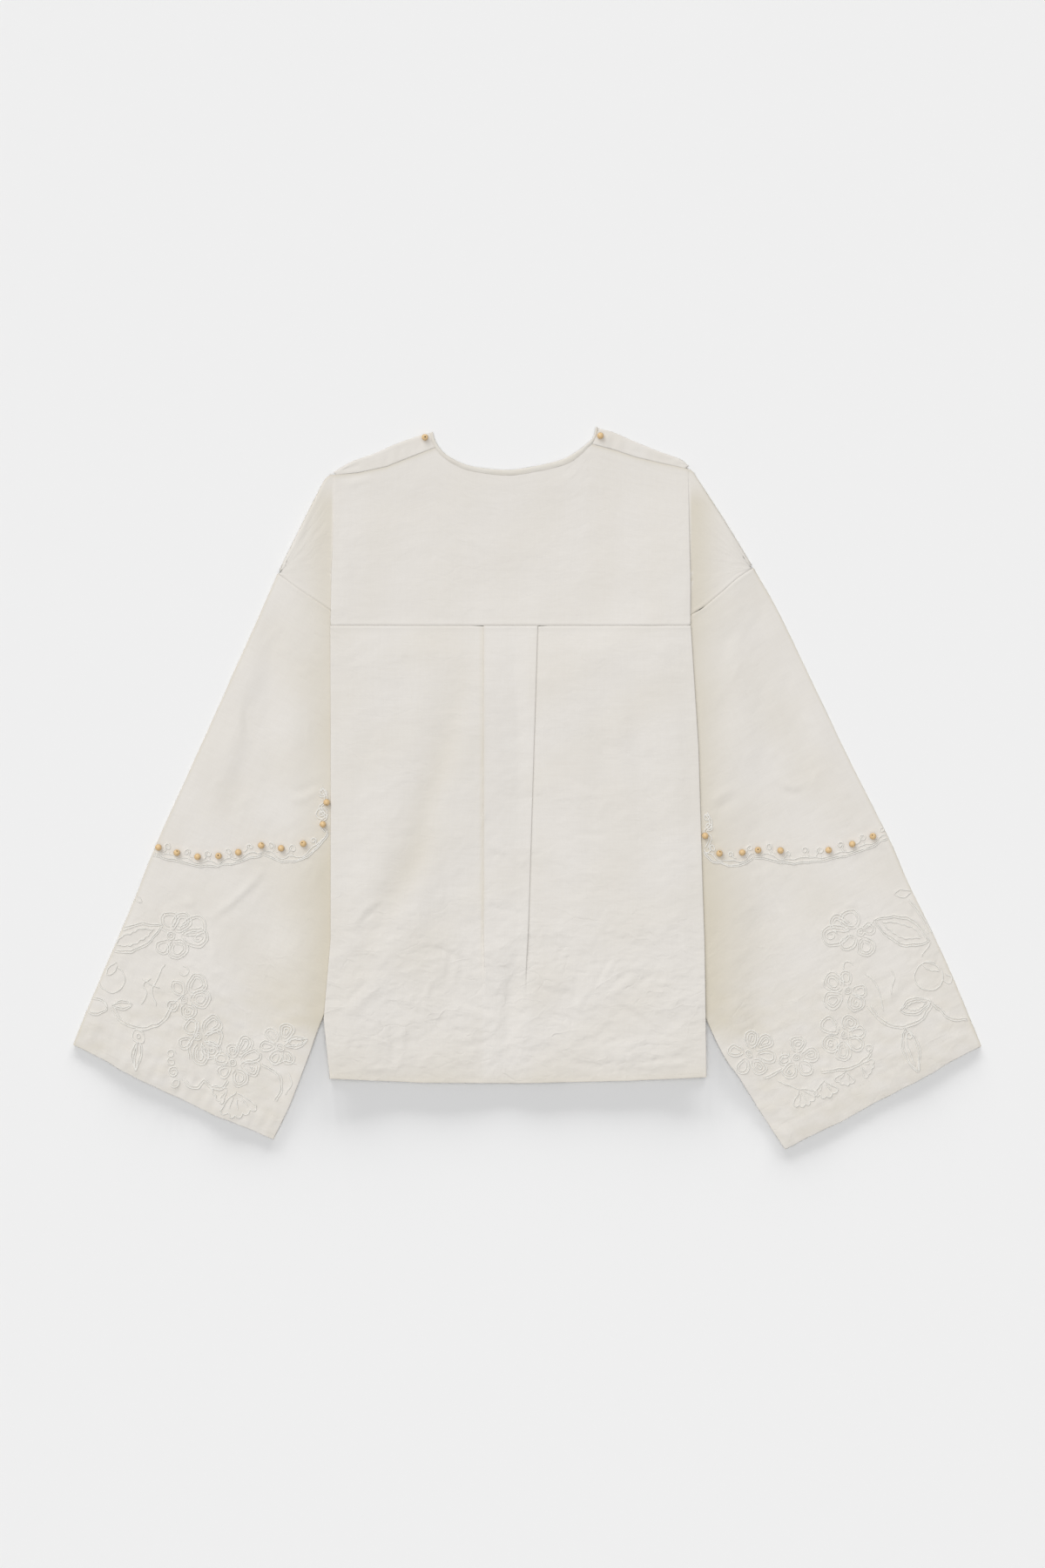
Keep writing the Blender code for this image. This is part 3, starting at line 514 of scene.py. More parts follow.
def z_fold(turn: Array, depth: Array, radius: float, steps: int) -> tuple[Array, Array]:
    """A Z fold: an arc up through turn, a run of depth, and the arc back.

    Args:
        turn: how far the cloth turns, one angle a row.
        depth: the run between the arcs, one a row.
        radius: radius of the arcs.
        steps: steps in each arc.

    Returns:
        The x and z of its points from the lower layer up, a row for each turn.
    """
    turn = np.maximum(np.atleast_1d(turn), 0.02)
    bend = np.maximum(radius * turn, 1.2) / turn
    angles = np.linspace(0, 1, steps + 1)[None, :] * turn[:, None]
    first_x = bend[:, None] * np.sin(angles)
    first_z = bend[:, None] * (1 - np.cos(angles))
    whole_x = 2 * first_x[:, -1:] + (depth * np.cos(turn))[:, None]
    whole_z = 2 * first_z[:, -1:] + (depth * np.sin(turn))[:, None]
    x = np.hstack([first_x, whole_x - first_x[:, ::-1]]) - whole_x / 2
    z = np.hstack([first_z, whole_z - first_z[:, ::-1]])
    return x, z


def welt(distance: Array) -> Array:
    """Lift beside a seam: pulled down at the thread line, puffed just off it."""
    pulled = 0.42 * np.exp(-(distance / 0.7) ** 2)
    return 0.30 * np.exp(-((distance - 2.2) / 1.5) ** 2) - pulled


def grain_of(points: Array, closed: bool) -> Array:
    """Thread coordinates of a grid of points, measured in the cloth itself.

    Args:
        points: rows by columns by 3.
        closed: True where the last column joins the first.

    Returns:
        Rows by columns by 2, one column more if closed: lengths along the middle
        row and down the middle column.
    """
    row = points[len(points) // 2]
    if closed:
        row = np.vstack([row, row[:1]])
    column = points[:, points.shape[1] // 2]
    return np.dstack(np.meshgrid(lengths(row), lengths(column)))


def grid_mesh(name: str, grids: Sequence[Array], closed: bool = False) -> Mesh:
    """A mesh of quads through grids of points.

    Args:
        name: the mesh's name.
        grids: each rows by columns by 3, in millimetres.
        closed: True where each last column joins the first.

    Returns:
        The mesh in metres, its thread coordinates as a UV map.
    """
    points, faces, threads = [], [], []
    base = 0
    for grid in grids:
        rows, columns = grid.shape[:2]
        last = columns if closed else columns - 1
        i, j = np.meshgrid(np.arange(rows - 1), np.arange(last), indexing="ij")
        row = np.stack([i, i, i + 1, i + 1], axis=-1).reshape(-1, 4)
        column = np.stack([j, j + 1, j + 1, j], axis=-1).reshape(-1, 4)
        faces.append(base + row * columns + column % columns)
        grain = grain_of(grid, closed)
        threads.append(grain[row, column].reshape(-1, 2))
        points.append(grid.reshape(-1, 3))
        base += rows * columns
    mesh = bpy.data.meshes.new(name)
    mesh.from_pydata((np.vstack(points) * MM).tolist(), [], np.vstack(faces).tolist())
    layer = mesh.uv_layers.new(name=GRAIN)
    layer.data.foreach_set("uv", (np.vstack(threads) * MM).ravel())
    return mesh


def paint(mesh: Mesh, rules: dict[str, Callable[[Array, Array], Array]]) -> None:
    """Stores a value from 0 to 1 on each point under each rule's name.

    Args:
        mesh: the mesh to paint.
        rules: each gives its value from x and y in millimetres.
    """
    place = np.empty(len(mesh.vertices) * 3)
    mesh.vertices.foreach_get("co", place)
    x, y, _ = (place.reshape(-1, 3) / MM).T
    for name, rule in rules.items():
        layer = mesh.attributes.new(name, "FLOAT", "POINT")
        layer.data.foreach_set("value", np.clip(rule(x, y), 0, 1))


def merge_points(mesh: Mesh, distance: float) -> None:
    """Joins the points closer than distance and turns the faces outward."""
    work = bmesh.new()
    work.from_mesh(mesh)
    bmesh.ops.remove_doubles(work, verts=work.verts, dist=distance * MM)
    bmesh.ops.recalc_face_normals(work, faces=work.faces)
    work.to_mesh(mesh)
    work.free()


def show(name: str, mesh: Mesh, material: Material) -> Object:
    """Puts a mesh in the scene at the origin, smooth, and rides it on the blouse."""
    mesh.materials.append(material)
    mesh.shade_smooth()
    piece = bpy.data.objects.new(name, mesh)
    bpy.context.scene.collection.objects.link(piece)
    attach(piece, BODY)
    return piece


class ClothPiece:
    """What the cloths share: each is made of grids, painted with tone and shade, and thickened."""

    node: str
    sheet: ClassVar[dict]
    finish: ClassVar[str] = "linen"
    slot: ClassVar[str] = "cloth"
    closed: ClassVar[bool] = False
    merge: ClassVar[float] = 0
    shade: ClassVar[tuple] = (0, 0, 1, 0)
    wall: float = WALL

    def grids(self) -> list[Array]:
        """The grids of the cloth's middle surface."""
        return [self.points()]

    def tone_and_shade(self, x: Array, y: Array) -> Array:
        """How warm its tone is: a base, and soft patches of a size from a seed; some pieces add
        painted shade.
        """
        base, swing, size, seed = self.shade
        return base + swing * ripple(x, y, size, seed)

    def worn(self, x: Array, y: Array) -> Array:
        """How finely wrinkled it is: a little everywhere, in soft patches."""
        return 0.26 + 0.12 * ripple(x, y, 90, 3)

    def build(self, finishes: Finishes) -> Object:
        """Makes the piece, its wall half on each side.

        Args:
            finishes: the blouse's materials.

        Returns:
            The finished piece.
        """
        mesh = grid_mesh(f"{self.node}_cloth", self.grids(), self.closed)
        if self.merge:
            merge_points(mesh, self.merge)
        paint(mesh, {TONE_AND_SHADE: self.tone_and_shade, WORN: self.worn})
        piece = show(mesh.name, mesh, getattr(finishes, self.finish))
        solid = piece.modifiers.new("Wall", "SOLIDIFY")
        solid.thickness = self.wall * MM
        solid.offset = 0
        solid.use_even_offset = True
        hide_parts(self.node)
        return piece


def tube_arrays(line: Array, width: float, height: float, sides: int) -> tuple:
    """A cord along a line: an ellipse standing square to it at every point.

    Args:
        line: n by 3 points of the cord's middle.
        width: its full width.
        height: its full height.
        sides: how many sides it has.

    Returns:
        Its points, its faces as lists of indices, and a UV for each corner.
    """
    run = np.gradient(line, axis=0)
    run /= np.linalg.norm(run, axis=1)[:, None]
    flat = np.cross(run, [0, 0, 1])
    flat /= np.linalg.norm(flat, axis=1)[:, None] + 1e-9
    rise = np.cross(flat, run)
    angle = np.linspace(0, 2 * math.pi, sides, endpoint=False)
    size = np.ones(len(line))
    size[[0, -1]] = 0.15
    size[[1, -2]] = 0.8
    ring = (np.cos(angle)[None, :, None] * flat[:, None] * width / 2
            + np.sin(angle)[None, :, None] * rise[:, None] * height / 2)
    points = line[:, None] + ring * size[:, None, None]
    count = len(line)
    i, j = np.meshgrid(np.arange(count - 1), np.arange(sides), indexing="ij")
    row = np.stack([i, i, i + 1, i + 1], axis=-1).reshape(-1, 4)
    column = np.stack([j + 1, j, j, j + 1], axis=-1).reshape(-1, 4)
    faces = (row * sides + column % sides).tolist()
    faces.append(list(range(sides))[::-1])
    faces.append([(count - 1) * sides + k for k in range(sides)])
    length = lengths(line)
    around = column * (math.pi * width / sides)
    corners = np.stack([length[row], around], axis=-1).reshape(-1, 2)
    caps = np.vstack([np.tile([0, 0], (sides, 1)), np.tile([length[-1], 0], (sides, 1))])
    return points.reshape(-1, 3), faces, np.vstack([corners, caps])


def cords_mesh(name: str, lines: Sequence[Array], width: float, height: float,
               sides: int) -> Mesh:
    """One mesh of many cords.

    Args:
        name: the mesh's name.
        lines: the middle line of each, n by 3 in millimetres.
        width: full width of every cord.
        height: its full height.
        sides: how many sides it has.

    Returns:
        The mesh in metres, lengths along and around as a UV map.
    """
    points, faces, corners = [], [], []
    base = 0
    for line in lines:
        spots, quads, uv = tube_arrays(line, width, height, sides)
        points.append(spots)
        faces += [[base + k for k in face] for face in quads]
        corners.append(uv)
        base += len(spots)
    mesh = bpy.data.meshes.new(name)
    mesh.from_pydata((np.vstack(points) * MM).tolist(), [], faces)
    layer = mesh.uv_layers.new(name=GRAIN)
    layer.data.foreach_set("uv", (np.vstack(corners) * MM).ravel())
    return mesh


def put(node: Node, **values: object) -> None:
    """Sets a node's inputs, each named with _ for a space."""
    for name, value in values.items():
        node.inputs[name.replace("_", " ")].default_value = value


def new_finish(name: str) -> tuple[Material, Nodes, Node, NodeSocket]:
    """A new material, its nodes, its shader and its piece's thread coordinates."""
    made = bpy.data.materials.new(name)
    made.use_nodes = True
    n = Nodes(made.node_tree)
    grain = n.add("ShaderNodeUVMap", uv_map=GRAIN).outputs[0]
    return made, n, made.node_tree.nodes["Principled BSDF"], grain


class Nodes:
    """Short ways to add nodes and links to a node tree."""

    def __init__(self, tree: NodeTree) -> None:
        """Keeps the tree that the nodes go into."""
        self.tree = tree

    def add(self, kind: str, **settings: object) -> Node:
        """A new node of a kind, with these settings."""
        node = self.tree.nodes.new(kind)
        for key, value in settings.items():
            setattr(node, key, value)
        return node

    def link(self, start: NodeSocket, end: NodeSocket) -> None:
        """Joins an output to an input."""
        self.tree.links.new(start, end)

    def math(self, operation: str, first: object, second: object = None) -> NodeSocket:
        """A Math node on one or two values, each a socket or a number.

        Args:
            operation: what it does.
            first: its first value.
            second: its second value, if any.

        Returns:
            Its output.
        """
        node = self.add("ShaderNodeMath", operation=operation)
        for slot, value in enumerate((first, second)):
            if isinstance(value, NodeSocket):
                self.link(value, node.inputs[slot])
            elif value is not None:
                node.inputs[slot].default_value = value
        return node.outputs[0]

    def stretched(self, vector: NodeSocket, scale: tuple) -> NodeSocket:
        """A vector with each coordinate scaled."""
        node = self.add("ShaderNodeMapping")
        put(node, Scale=scale)
        self.link(vector, node.inputs["Vector"])
        return node.outputs[0]

    def noise(self, vector: NodeSocket, scale: float, detail: float,
              rough: float = 0.5) -> NodeSocket:
        """The value of a noise texture on a vector."""
        node = self.add("ShaderNodeTexNoise")
        put(node, Scale=scale, Detail=detail, Roughness=rough)
        self.link(vector, node.inputs["Vector"])
        return node.outputs["Fac"]

    def bump(self, height: NodeSocket, strength: float, distance: float) -> Node:
        """A Bump node over a height, with its distance in millimetres."""
        node = self.add("ShaderNodeBump")
        put(node, Strength=strength, Distance=distance * MM)
        self.link(height, node.inputs["Height"])
        return node

    def mixed(self, share: NodeSocket, first: object, second: object,
              blend: str = "MIX") -> NodeSocket:
        """A colour mix, each colour a socket or four numbers."""
        node = self.add("ShaderNodeMix", data_type="RGBA", blend_type=blend)
        self.link(share, node.inputs[0])
        for slot, value in ((6, first), (7, second)):
            if isinstance(value, NodeSocket):
                self.link(value, node.inputs[slot])
            else:
                node.inputs[slot].default_value = value
        return node.outputs[2]


def new_group(name: str, outputs: Sequence[str]) -> tuple[NodeTree, Nodes, NodeSocket, Node]:
    """A group with a Vector input in metres: its tree, nodes, input and output node."""
    tree = bpy.data.node_groups.new(name, "ShaderNodeTree")
    tree.interface.new_socket("Vector", in_out="INPUT", socket_type="NodeSocketVector")
    for output in outputs:
        tree.interface.new_socket(output, in_out="OUTPUT", socket_type="NodeSocketFloat")
    n = Nodes(tree)
    return tree, n, n.add("NodeGroupInput").outputs["Vector"], n.add("NodeGroupOutput")


def weave_group() -> NodeTree:
    """Plain weave with uneven yarns, shared by every cloth.

    The height is the higher of two sine ridges, warp and weft, and the slub is long
    thin noise along both yarns.

    Returns:
        A group with Height, Slub and Cloud outputs.
    """
    tree, n, source, result = new_group("linen_weave", ("Height", "Slub", "Cloud"))
    split = n.add("ShaderNodeSeparateXYZ")
    n.link(source, split.inputs[0])
    pitch = 2 * math.pi / (0.55 * MM)
    warp = n.math("SINE", n.math("MULTIPLY", split.outputs["X"], pitch))
    weft = n.math("SINE", n.math("MULTIPLY", split.outputs["Y"], pitch))
    ridge = n.math("MAXIMUM", n.math("ABSOLUTE", warp), n.math("ABSOLUTE", weft))
    across = n.noise(n.stretched(source, (55, 900, 1)), 1, 3, 0.6)
    down = n.noise(n.stretched(source, (900, 55, 1)), 1, 3, 0.6)
    fine = n.math("ADD", n.math("MULTIPLY", across, 0.35), n.math("MULTIPLY", down, 0.25))
    broad = n.noise(n.stretched(source, (26, 330, 1)), 1, 2, 0.5)
    upright = n.noise(n.stretched(source, (330, 22, 1)), 1, 2, 0.5)
    wide = n.math("ADD", n.math("MULTIPLY", broad, 0.22), n.math("MULTIPLY", upright, 0.18))
    slub = n.math("ADD", fine, wide)
    cloud = n.noise(source, 14, 4, 0.6)
    height = n.math("ADD", n.math("MULTIPLY", ridge, 0.25), slub)
    for name, socket in (("Height", height), ("Slub", slub), ("Cloud", cloud)):
        n.link(socket, result.inputs[name])
    return tree


def crumple_group() -> NodeTree:
    """Fine wrinkles of worn linen, shared by every cloth.

    Thin lines along the borders of three sets of bent cells, which soft noise turns
    from ridge to valley and back, over the cells' own slopes.

    Returns:
        A group with a Height output.
    """
    tree, n, source, result = new_group("linen_wrinkles", ("Height",))
    bend = n.add("ShaderNodeTexNoise")
    put(bend, Scale=60, Detail=3)
    n.link(source, bend.inputs["Vector"])
    shift = n.add("ShaderNodeVectorMath", operation="MULTIPLY_ADD")
    shift.inputs[1].default_value = (0.012, 0.012, 0)
    n.link(bend.outputs["Color"], shift.inputs[0])
    n.link(source, shift.inputs[2])
    total = None
    for scale, turn, size, facet in ((24, 0.5, 1, 4.4), (52, -0.7, 0.7, 2.8),
                                     (115, 1.9, 0.2, 1.1)):
        turned = n.add("ShaderNodeMapping")
        put(turned, Rotation=(0, 0, turn), Scale=(1, 1.7, 1))
        n.link(shift.outputs[0], turned.inputs["Vector"])
        heights = []
        for feature in ("DISTANCE_TO_EDGE", "SMOOTH_F1"):
            cells = n.add("ShaderNodeTexVoronoi", voronoi_dimensions="2D", feature=feature)
            put(cells, Scale=scale)
            n.link(turned.outputs[0], cells.inputs["Vector"])
            heights.append(cells.outputs["Distance"])
        line = n.math("SUBTRACT", 1, n.math("DIVIDE", heights[0], 3.2 * MM * scale))
        line.node.use_clamp = True
        sway = n.math("SUBTRACT", n.noise(turned.outputs[0], 0.8 * scale, 1), 0.5)
        part = n.math("MULTIPLY", n.math("MULTIPLY", line, line),
                      n.math("MULTIPLY", sway, 4.2 * size))
        part = n.math("ADD", part, n.math("MULTIPLY", heights[1], facet))
        total = part if total is None else n.math("ADD", total, part)
    n.link(total, result.inputs["Height"])
    return tree


@dataclass(frozen=True)
class Cloth:
    """A woven finish: its colours, its uneven yarns and its soft sheen."""

    name: str
    colour: tuple
    deep: tuple
    tone_and_shade_colour: tuple
    bump: float = 0.35
    wrinkles: float = 0.9
    rough: float = 0.9

    def material(self, weave: NodeTree,
                 crumple: NodeTree) -> Material:
        """Builds the material, which reads its piece's thread, its painted tone and shade, and its
        wear.

        Args:
            weave: the shared weave.
            crumple: the shared fine wrinkles.

        Returns:
            The material.
        """
        made, n, shader, grain = new_finish(self.name)
        cloth = n.add("ShaderNodeGroup", node_tree=weave)
        n.link(grain, cloth.inputs["Vector"])
        tone_and_shade = n.add("ShaderNodeAttribute", attribute_name=TONE_AND_SHADE)
        slub = n.math("MULTIPLY", n.math("SUBTRACT", cloth.outputs["Slub"], 0.40), 3.2)
        cloud = n.math("MULTIPLY", n.math("SUBTRACT", cloth.outputs["Cloud"], 0.35), 1.5)
        shade = n.math("ADD", n.math("MULTIPLY", slub, 0.6), n.math("MULTIPLY", cloud, 0.2))
        shade.node.use_clamp = True
        plain = n.mixed(shade, self.colour, self.deep)
        # The painted tone and shade attribute mixes in the warm colour, which darkens the cloth as
        # painted shade as well as tone
        n.link(n.mixed(tone_and_shade.outputs["Fac"], plain, self.tone_and_shade_colour), shader.inputs["Base Color"])
        rough = n.math("ADD", n.math("MULTIPLY", cloth.outputs["Slub"], 0.12), self.rough - 0.06)
        n.link(rough, shader.inputs["Roughness"])
        creases = n.add("ShaderNodeGroup", node_tree=crumple)
        n.link(grain, creases.inputs["Vector"])
        worn = n.add("ShaderNodeAttribute", attribute_name=WORN)
        wrinkled = n.math("MULTIPLY", creases.outputs["Height"], worn.outputs["Fac"])
        fine = n.bump(wrinkled, self.wrinkles, 0.38)
        bump = n.bump(cloth.outputs["Height"], self.bump, 0.3)
        n.link(fine.outputs[0], bump.inputs["Normal"])
        n.link(bump.outputs[0], shader.inputs["Normal"])
        put(shader, Sheen_Weight=0.10, Sheen_Roughness=0.5, Specular_IOR_Level=0.25)
        return made


@dataclass(frozen=True)
class Cord:
    """A laid cord's finish: pale, with its strands twisted round each other."""

    name: str
    colour: tuple
    deep: tuple
    strand: float

    def material(self) -> Material:
        """Builds the material: slanting bands along the cord raise it and darken its grooves as
        painted shade, with random flecks of tone.
        """
        made, n, shader, grain = new_finish(self.name)
        split = n.add("ShaderNodeSeparateXYZ")
        n.link(grain, split.inputs[0])
        slant = n.math("ADD", split.outputs["X"], split.outputs["Y"])
        twist = n.math("SINE", n.math("MULTIPLY", slant, 2 * math.pi / (self.strand * MM)))
        fleck = n.noise(grain, 600, 2)
        height = n.math("ADD", n.math("MULTIPLY", twist, 0.35), fleck)
        share = n.math("SUBTRACT", 0.75, n.math("MULTIPLY", height, 0.5))
        share.node.use_clamp = True
        n.link(n.mixed(share, self.colour, self.deep), shader.inputs["Base Color"])
        rough = n.math("ADD", n.math("MULTIPLY", fleck, 0.15), 0.7)
        n.link(rough, shader.inputs["Roughness"])
        n.link(n.bump(height, 0.4, 0.2).outputs[0], shader.inputs["Normal"])
        put(shader, Sheen_Weight=0.2)
        return made


@dataclass(frozen=True)
class Wood:
    """A bead's finish: honey wood with rings round its hole and a soft polish."""

    name: str
    colour: tuple
    deep: tuple

    def material(self) -> Material:
        """Builds the material: rings along the hole, and the bore painted dark as shade."""
        made, n, shader, grain = new_finish(self.name)
        rings = n.noise(n.stretched(grain, (90, 900, 1)), 1, 3, 0.6)
        share = n.math("MULTIPLY", n.math("SUBTRACT", rings, 0.3), 2)
        share.node.use_clamp = True
        bore = n.add("ShaderNodeAttribute", attribute_name=TONE_AND_SHADE)
        plain = n.mixed(share, self.colour, self.deep)
        # Painted shade inside the bead's bore
        bore_shade_colour = (0.05, 0.03, 0.015, 1)
        n.link(n.mixed(bore.outputs["Fac"], plain, bore_shade_colour), shader.inputs["Base Color"])
        rough = n.math("ADD", n.math("MULTIPLY", rings, 0.2), 0.3)
        n.link(rough, shader.inputs["Roughness"])
        n.link(n.bump(rings, 0.15, 0.1).outputs[0], shader.inputs["Normal"])
        return made


@dataclass(frozen=True)
class Finishes:
    """Every material of the blouse."""

    linen: Material
    binding: Material
    cord: Material
    thread: Material
    wood: Material

    @classmethod
    def made(cls) -> Finishes:
        """Builds the materials from their colours."""
        weave, crumple = weave_group(), crumple_group()
        # Each cloth's last colour is that of its painted shade and warm tone
        linen = Cloth("linen", (0.775, 0.745, 0.705, 1), (0.725, 0.69, 0.64, 1),
                      (0.665, 0.615, 0.515, 1))
        binding = Cloth("binding_linen", (0.77, 0.74, 0.685, 1), (0.72, 0.685, 0.62, 1),
                        (0.66, 0.60, 0.50, 1), bump=0.5)
        cord = Cord("laid_cord", (0.88, 0.865, 0.83, 1), (0.74, 0.71, 0.65, 1), 1.3)
        thread = Cord("sewing_thread", (0.80, 0.77, 0.71, 1), (0.68, 0.64, 0.57, 1), 0.6)
        wood = Wood("bead_wood", (0.82, 0.60, 0.33, 1), (0.58, 0.36, 0.15, 1))
        return cls(linen.material(weave, crumple), binding.material(weave, crumple),
                   cord.material(), thread.material(), wood.material())


LONG_TROUGH = Crease(((-60, 150), (-81, 51), (-103, -17), (-114, -68), (-158, -150),
                      (-186, -222)), 15, -1.9, 0.3)
BACK_CREASES = (LONG_TROUGH,) + crease_table(
    (12, 0.7, 0, (-92, 140), (-114, 50), (-136, -20), (-152, -90), (-186, -160)),
    (12, 0.7, 0, (-62, 50), (-84, -20), (-98, -90), (-130, -170)),
    (11, -0.7, 0, (-150, 80), (-158, 41), (-173, -46), (-182, -110)),
    (12, -0.7, -0.3, (92, 150), (107, 106), (114, 26), (132, -17), (140, -90)),
    (10, -0.5, 0, (66, 90), (71, 23), (63, -39), (60, -110)),
    (10, 0.5, 0, (92, 90), (94, 10), (104, -60)),
    (9, 0.5, 0, (150, 100), (152, 10), (158, -90)),
    (8, -1.5, 0.4, (-8, -150), (-20, -219), (-24, -300)),
    (8, 0.8, 0, (6, -170), (-2, -240), (-4, -304)),
    (2.3, -1, 0.6, (68, -198), (77, -182), (86, -165)),
    (2.2, 0.7, 0.4, (74, -194), (82, -180), (90, -168)),
    (2.2, -0.9, 0.5, (79, -203), (92, -191), (104, -181)),
    (2.4, 0.8, 0.4, (82, -209), (96, -198), (110, -186)),
    (2.2, -0.7, 0.5, (108, -199), (117, -191), (125, -184)),
    (2.2, -0.8, 0.5, (-81, -196), (-78, -178), (-75, -160)),
    (2.3, 0.6, 0, (-74, -198), (-70, -178), (-68, -158)),
    (2.4, -0.8, 0.5, (-186, -220), (-170, -204), (-156, -190)),
    (2.7, 0.7, 0, (-180, -226), (-162, -210), (-146, -194)),
    (2.4, -0.8, 0.4, (-70, -209), (-50, -219), (-28, -224)),
    (2.4, 0.6, 0, (-68, -216), (-48, -226), (-26, -231)),
    (2.3, -0.7, 0, (-76, -254), (-58, -257), (-40, -254)),
    (2.3, 0.6, 0, (-74, -248), (-56, -250), (-38, -248)),
    (2.4, -0.7, 0.4, (24, -225), (42, -231), (60, -238)),
    (2.4, 0.6, 0, (24, -231), (40, -238), (58, -246)),
    (2.6, 0.7, 0.4, (98, -279), (134, -277), (170, -274)),
    (2.4, -0.5, 0, (100, -271), (134, -270), (168, -267)),
    (2, -0.8, 0.4, (-38, -63), (-28, -68), (-18, -70)),
    (2, 0.5, 0, (-40, -57), (-28, -60), (-16, -63)),
    (2, -0.6, 0.4, (5, -68), (14, -63), (24, -60)),
    (2, -0.6, 0.4, (46, -45), (64, -47), (82, -45)),
    (2, -0.7, 0, (-192, -91), (-182, -89), (-170, -90)),
    (2.3, -0.6, 0, (-193, -140), (-178, -142), (-163, -149)),
    (2.4, 0.6, 0, (-190, -146), (-176, -149), (-160, -157)),
    (2.3, -0.7, 0.4, (-168, -138), (-156, -126), (-143, -115)),
    (2.3, 0.6, 0, (-171, -132), (-160, -120), (-146, -109)),
    (2.2, -0.8, 0.4, (-199, -179), (-188, -182), (-176, -188)),
    (2.4, -0.6, 0.4, (72, -259), (92, -251), (115, -248)),
    (2.4, -0.6, 0, (30, -270), (52, -275), (76, -277)),
    (2.6, -0.7, 0.4, (80, -214), (102, -224), (124, -240)),
    (2.6, 0.6, 0, (84, -208), (106, -218), (130, -234)),
    (2.3, -0.6, 0.4, (130, -211), (140, -224), (150, -241)),
    (2.3, -0.7, 0.4, (-112, -114), (-102, -128), (-90, -139)),
    (2.6, -0.8, 0.4, (-94, -160), (-74, -168), (-50, -180)),
    (2.4, 0.6, 0, (-92, -154), (-72, -161), (-48, -173)),
    (2.3, -0.6, 0.4, (-60, -184), (-52, -194), (-44, -206)),
    (2.2, -0.6, 0.4, (29, -172), (35, -160), (42, -147)),
    (2.9, -0.6, 0, (-136, -235), (-134, -258), (-138, -282)),
    (2.9, 0.6, 0, (-126, -232), (-124, -256), (-128, -280)),
    (3, -0.6, 0, (52, -186), (47, -206), (48, -228)),
    (3, -0.5, 0, (140, -120), (146, -140), (158, -162)),
)


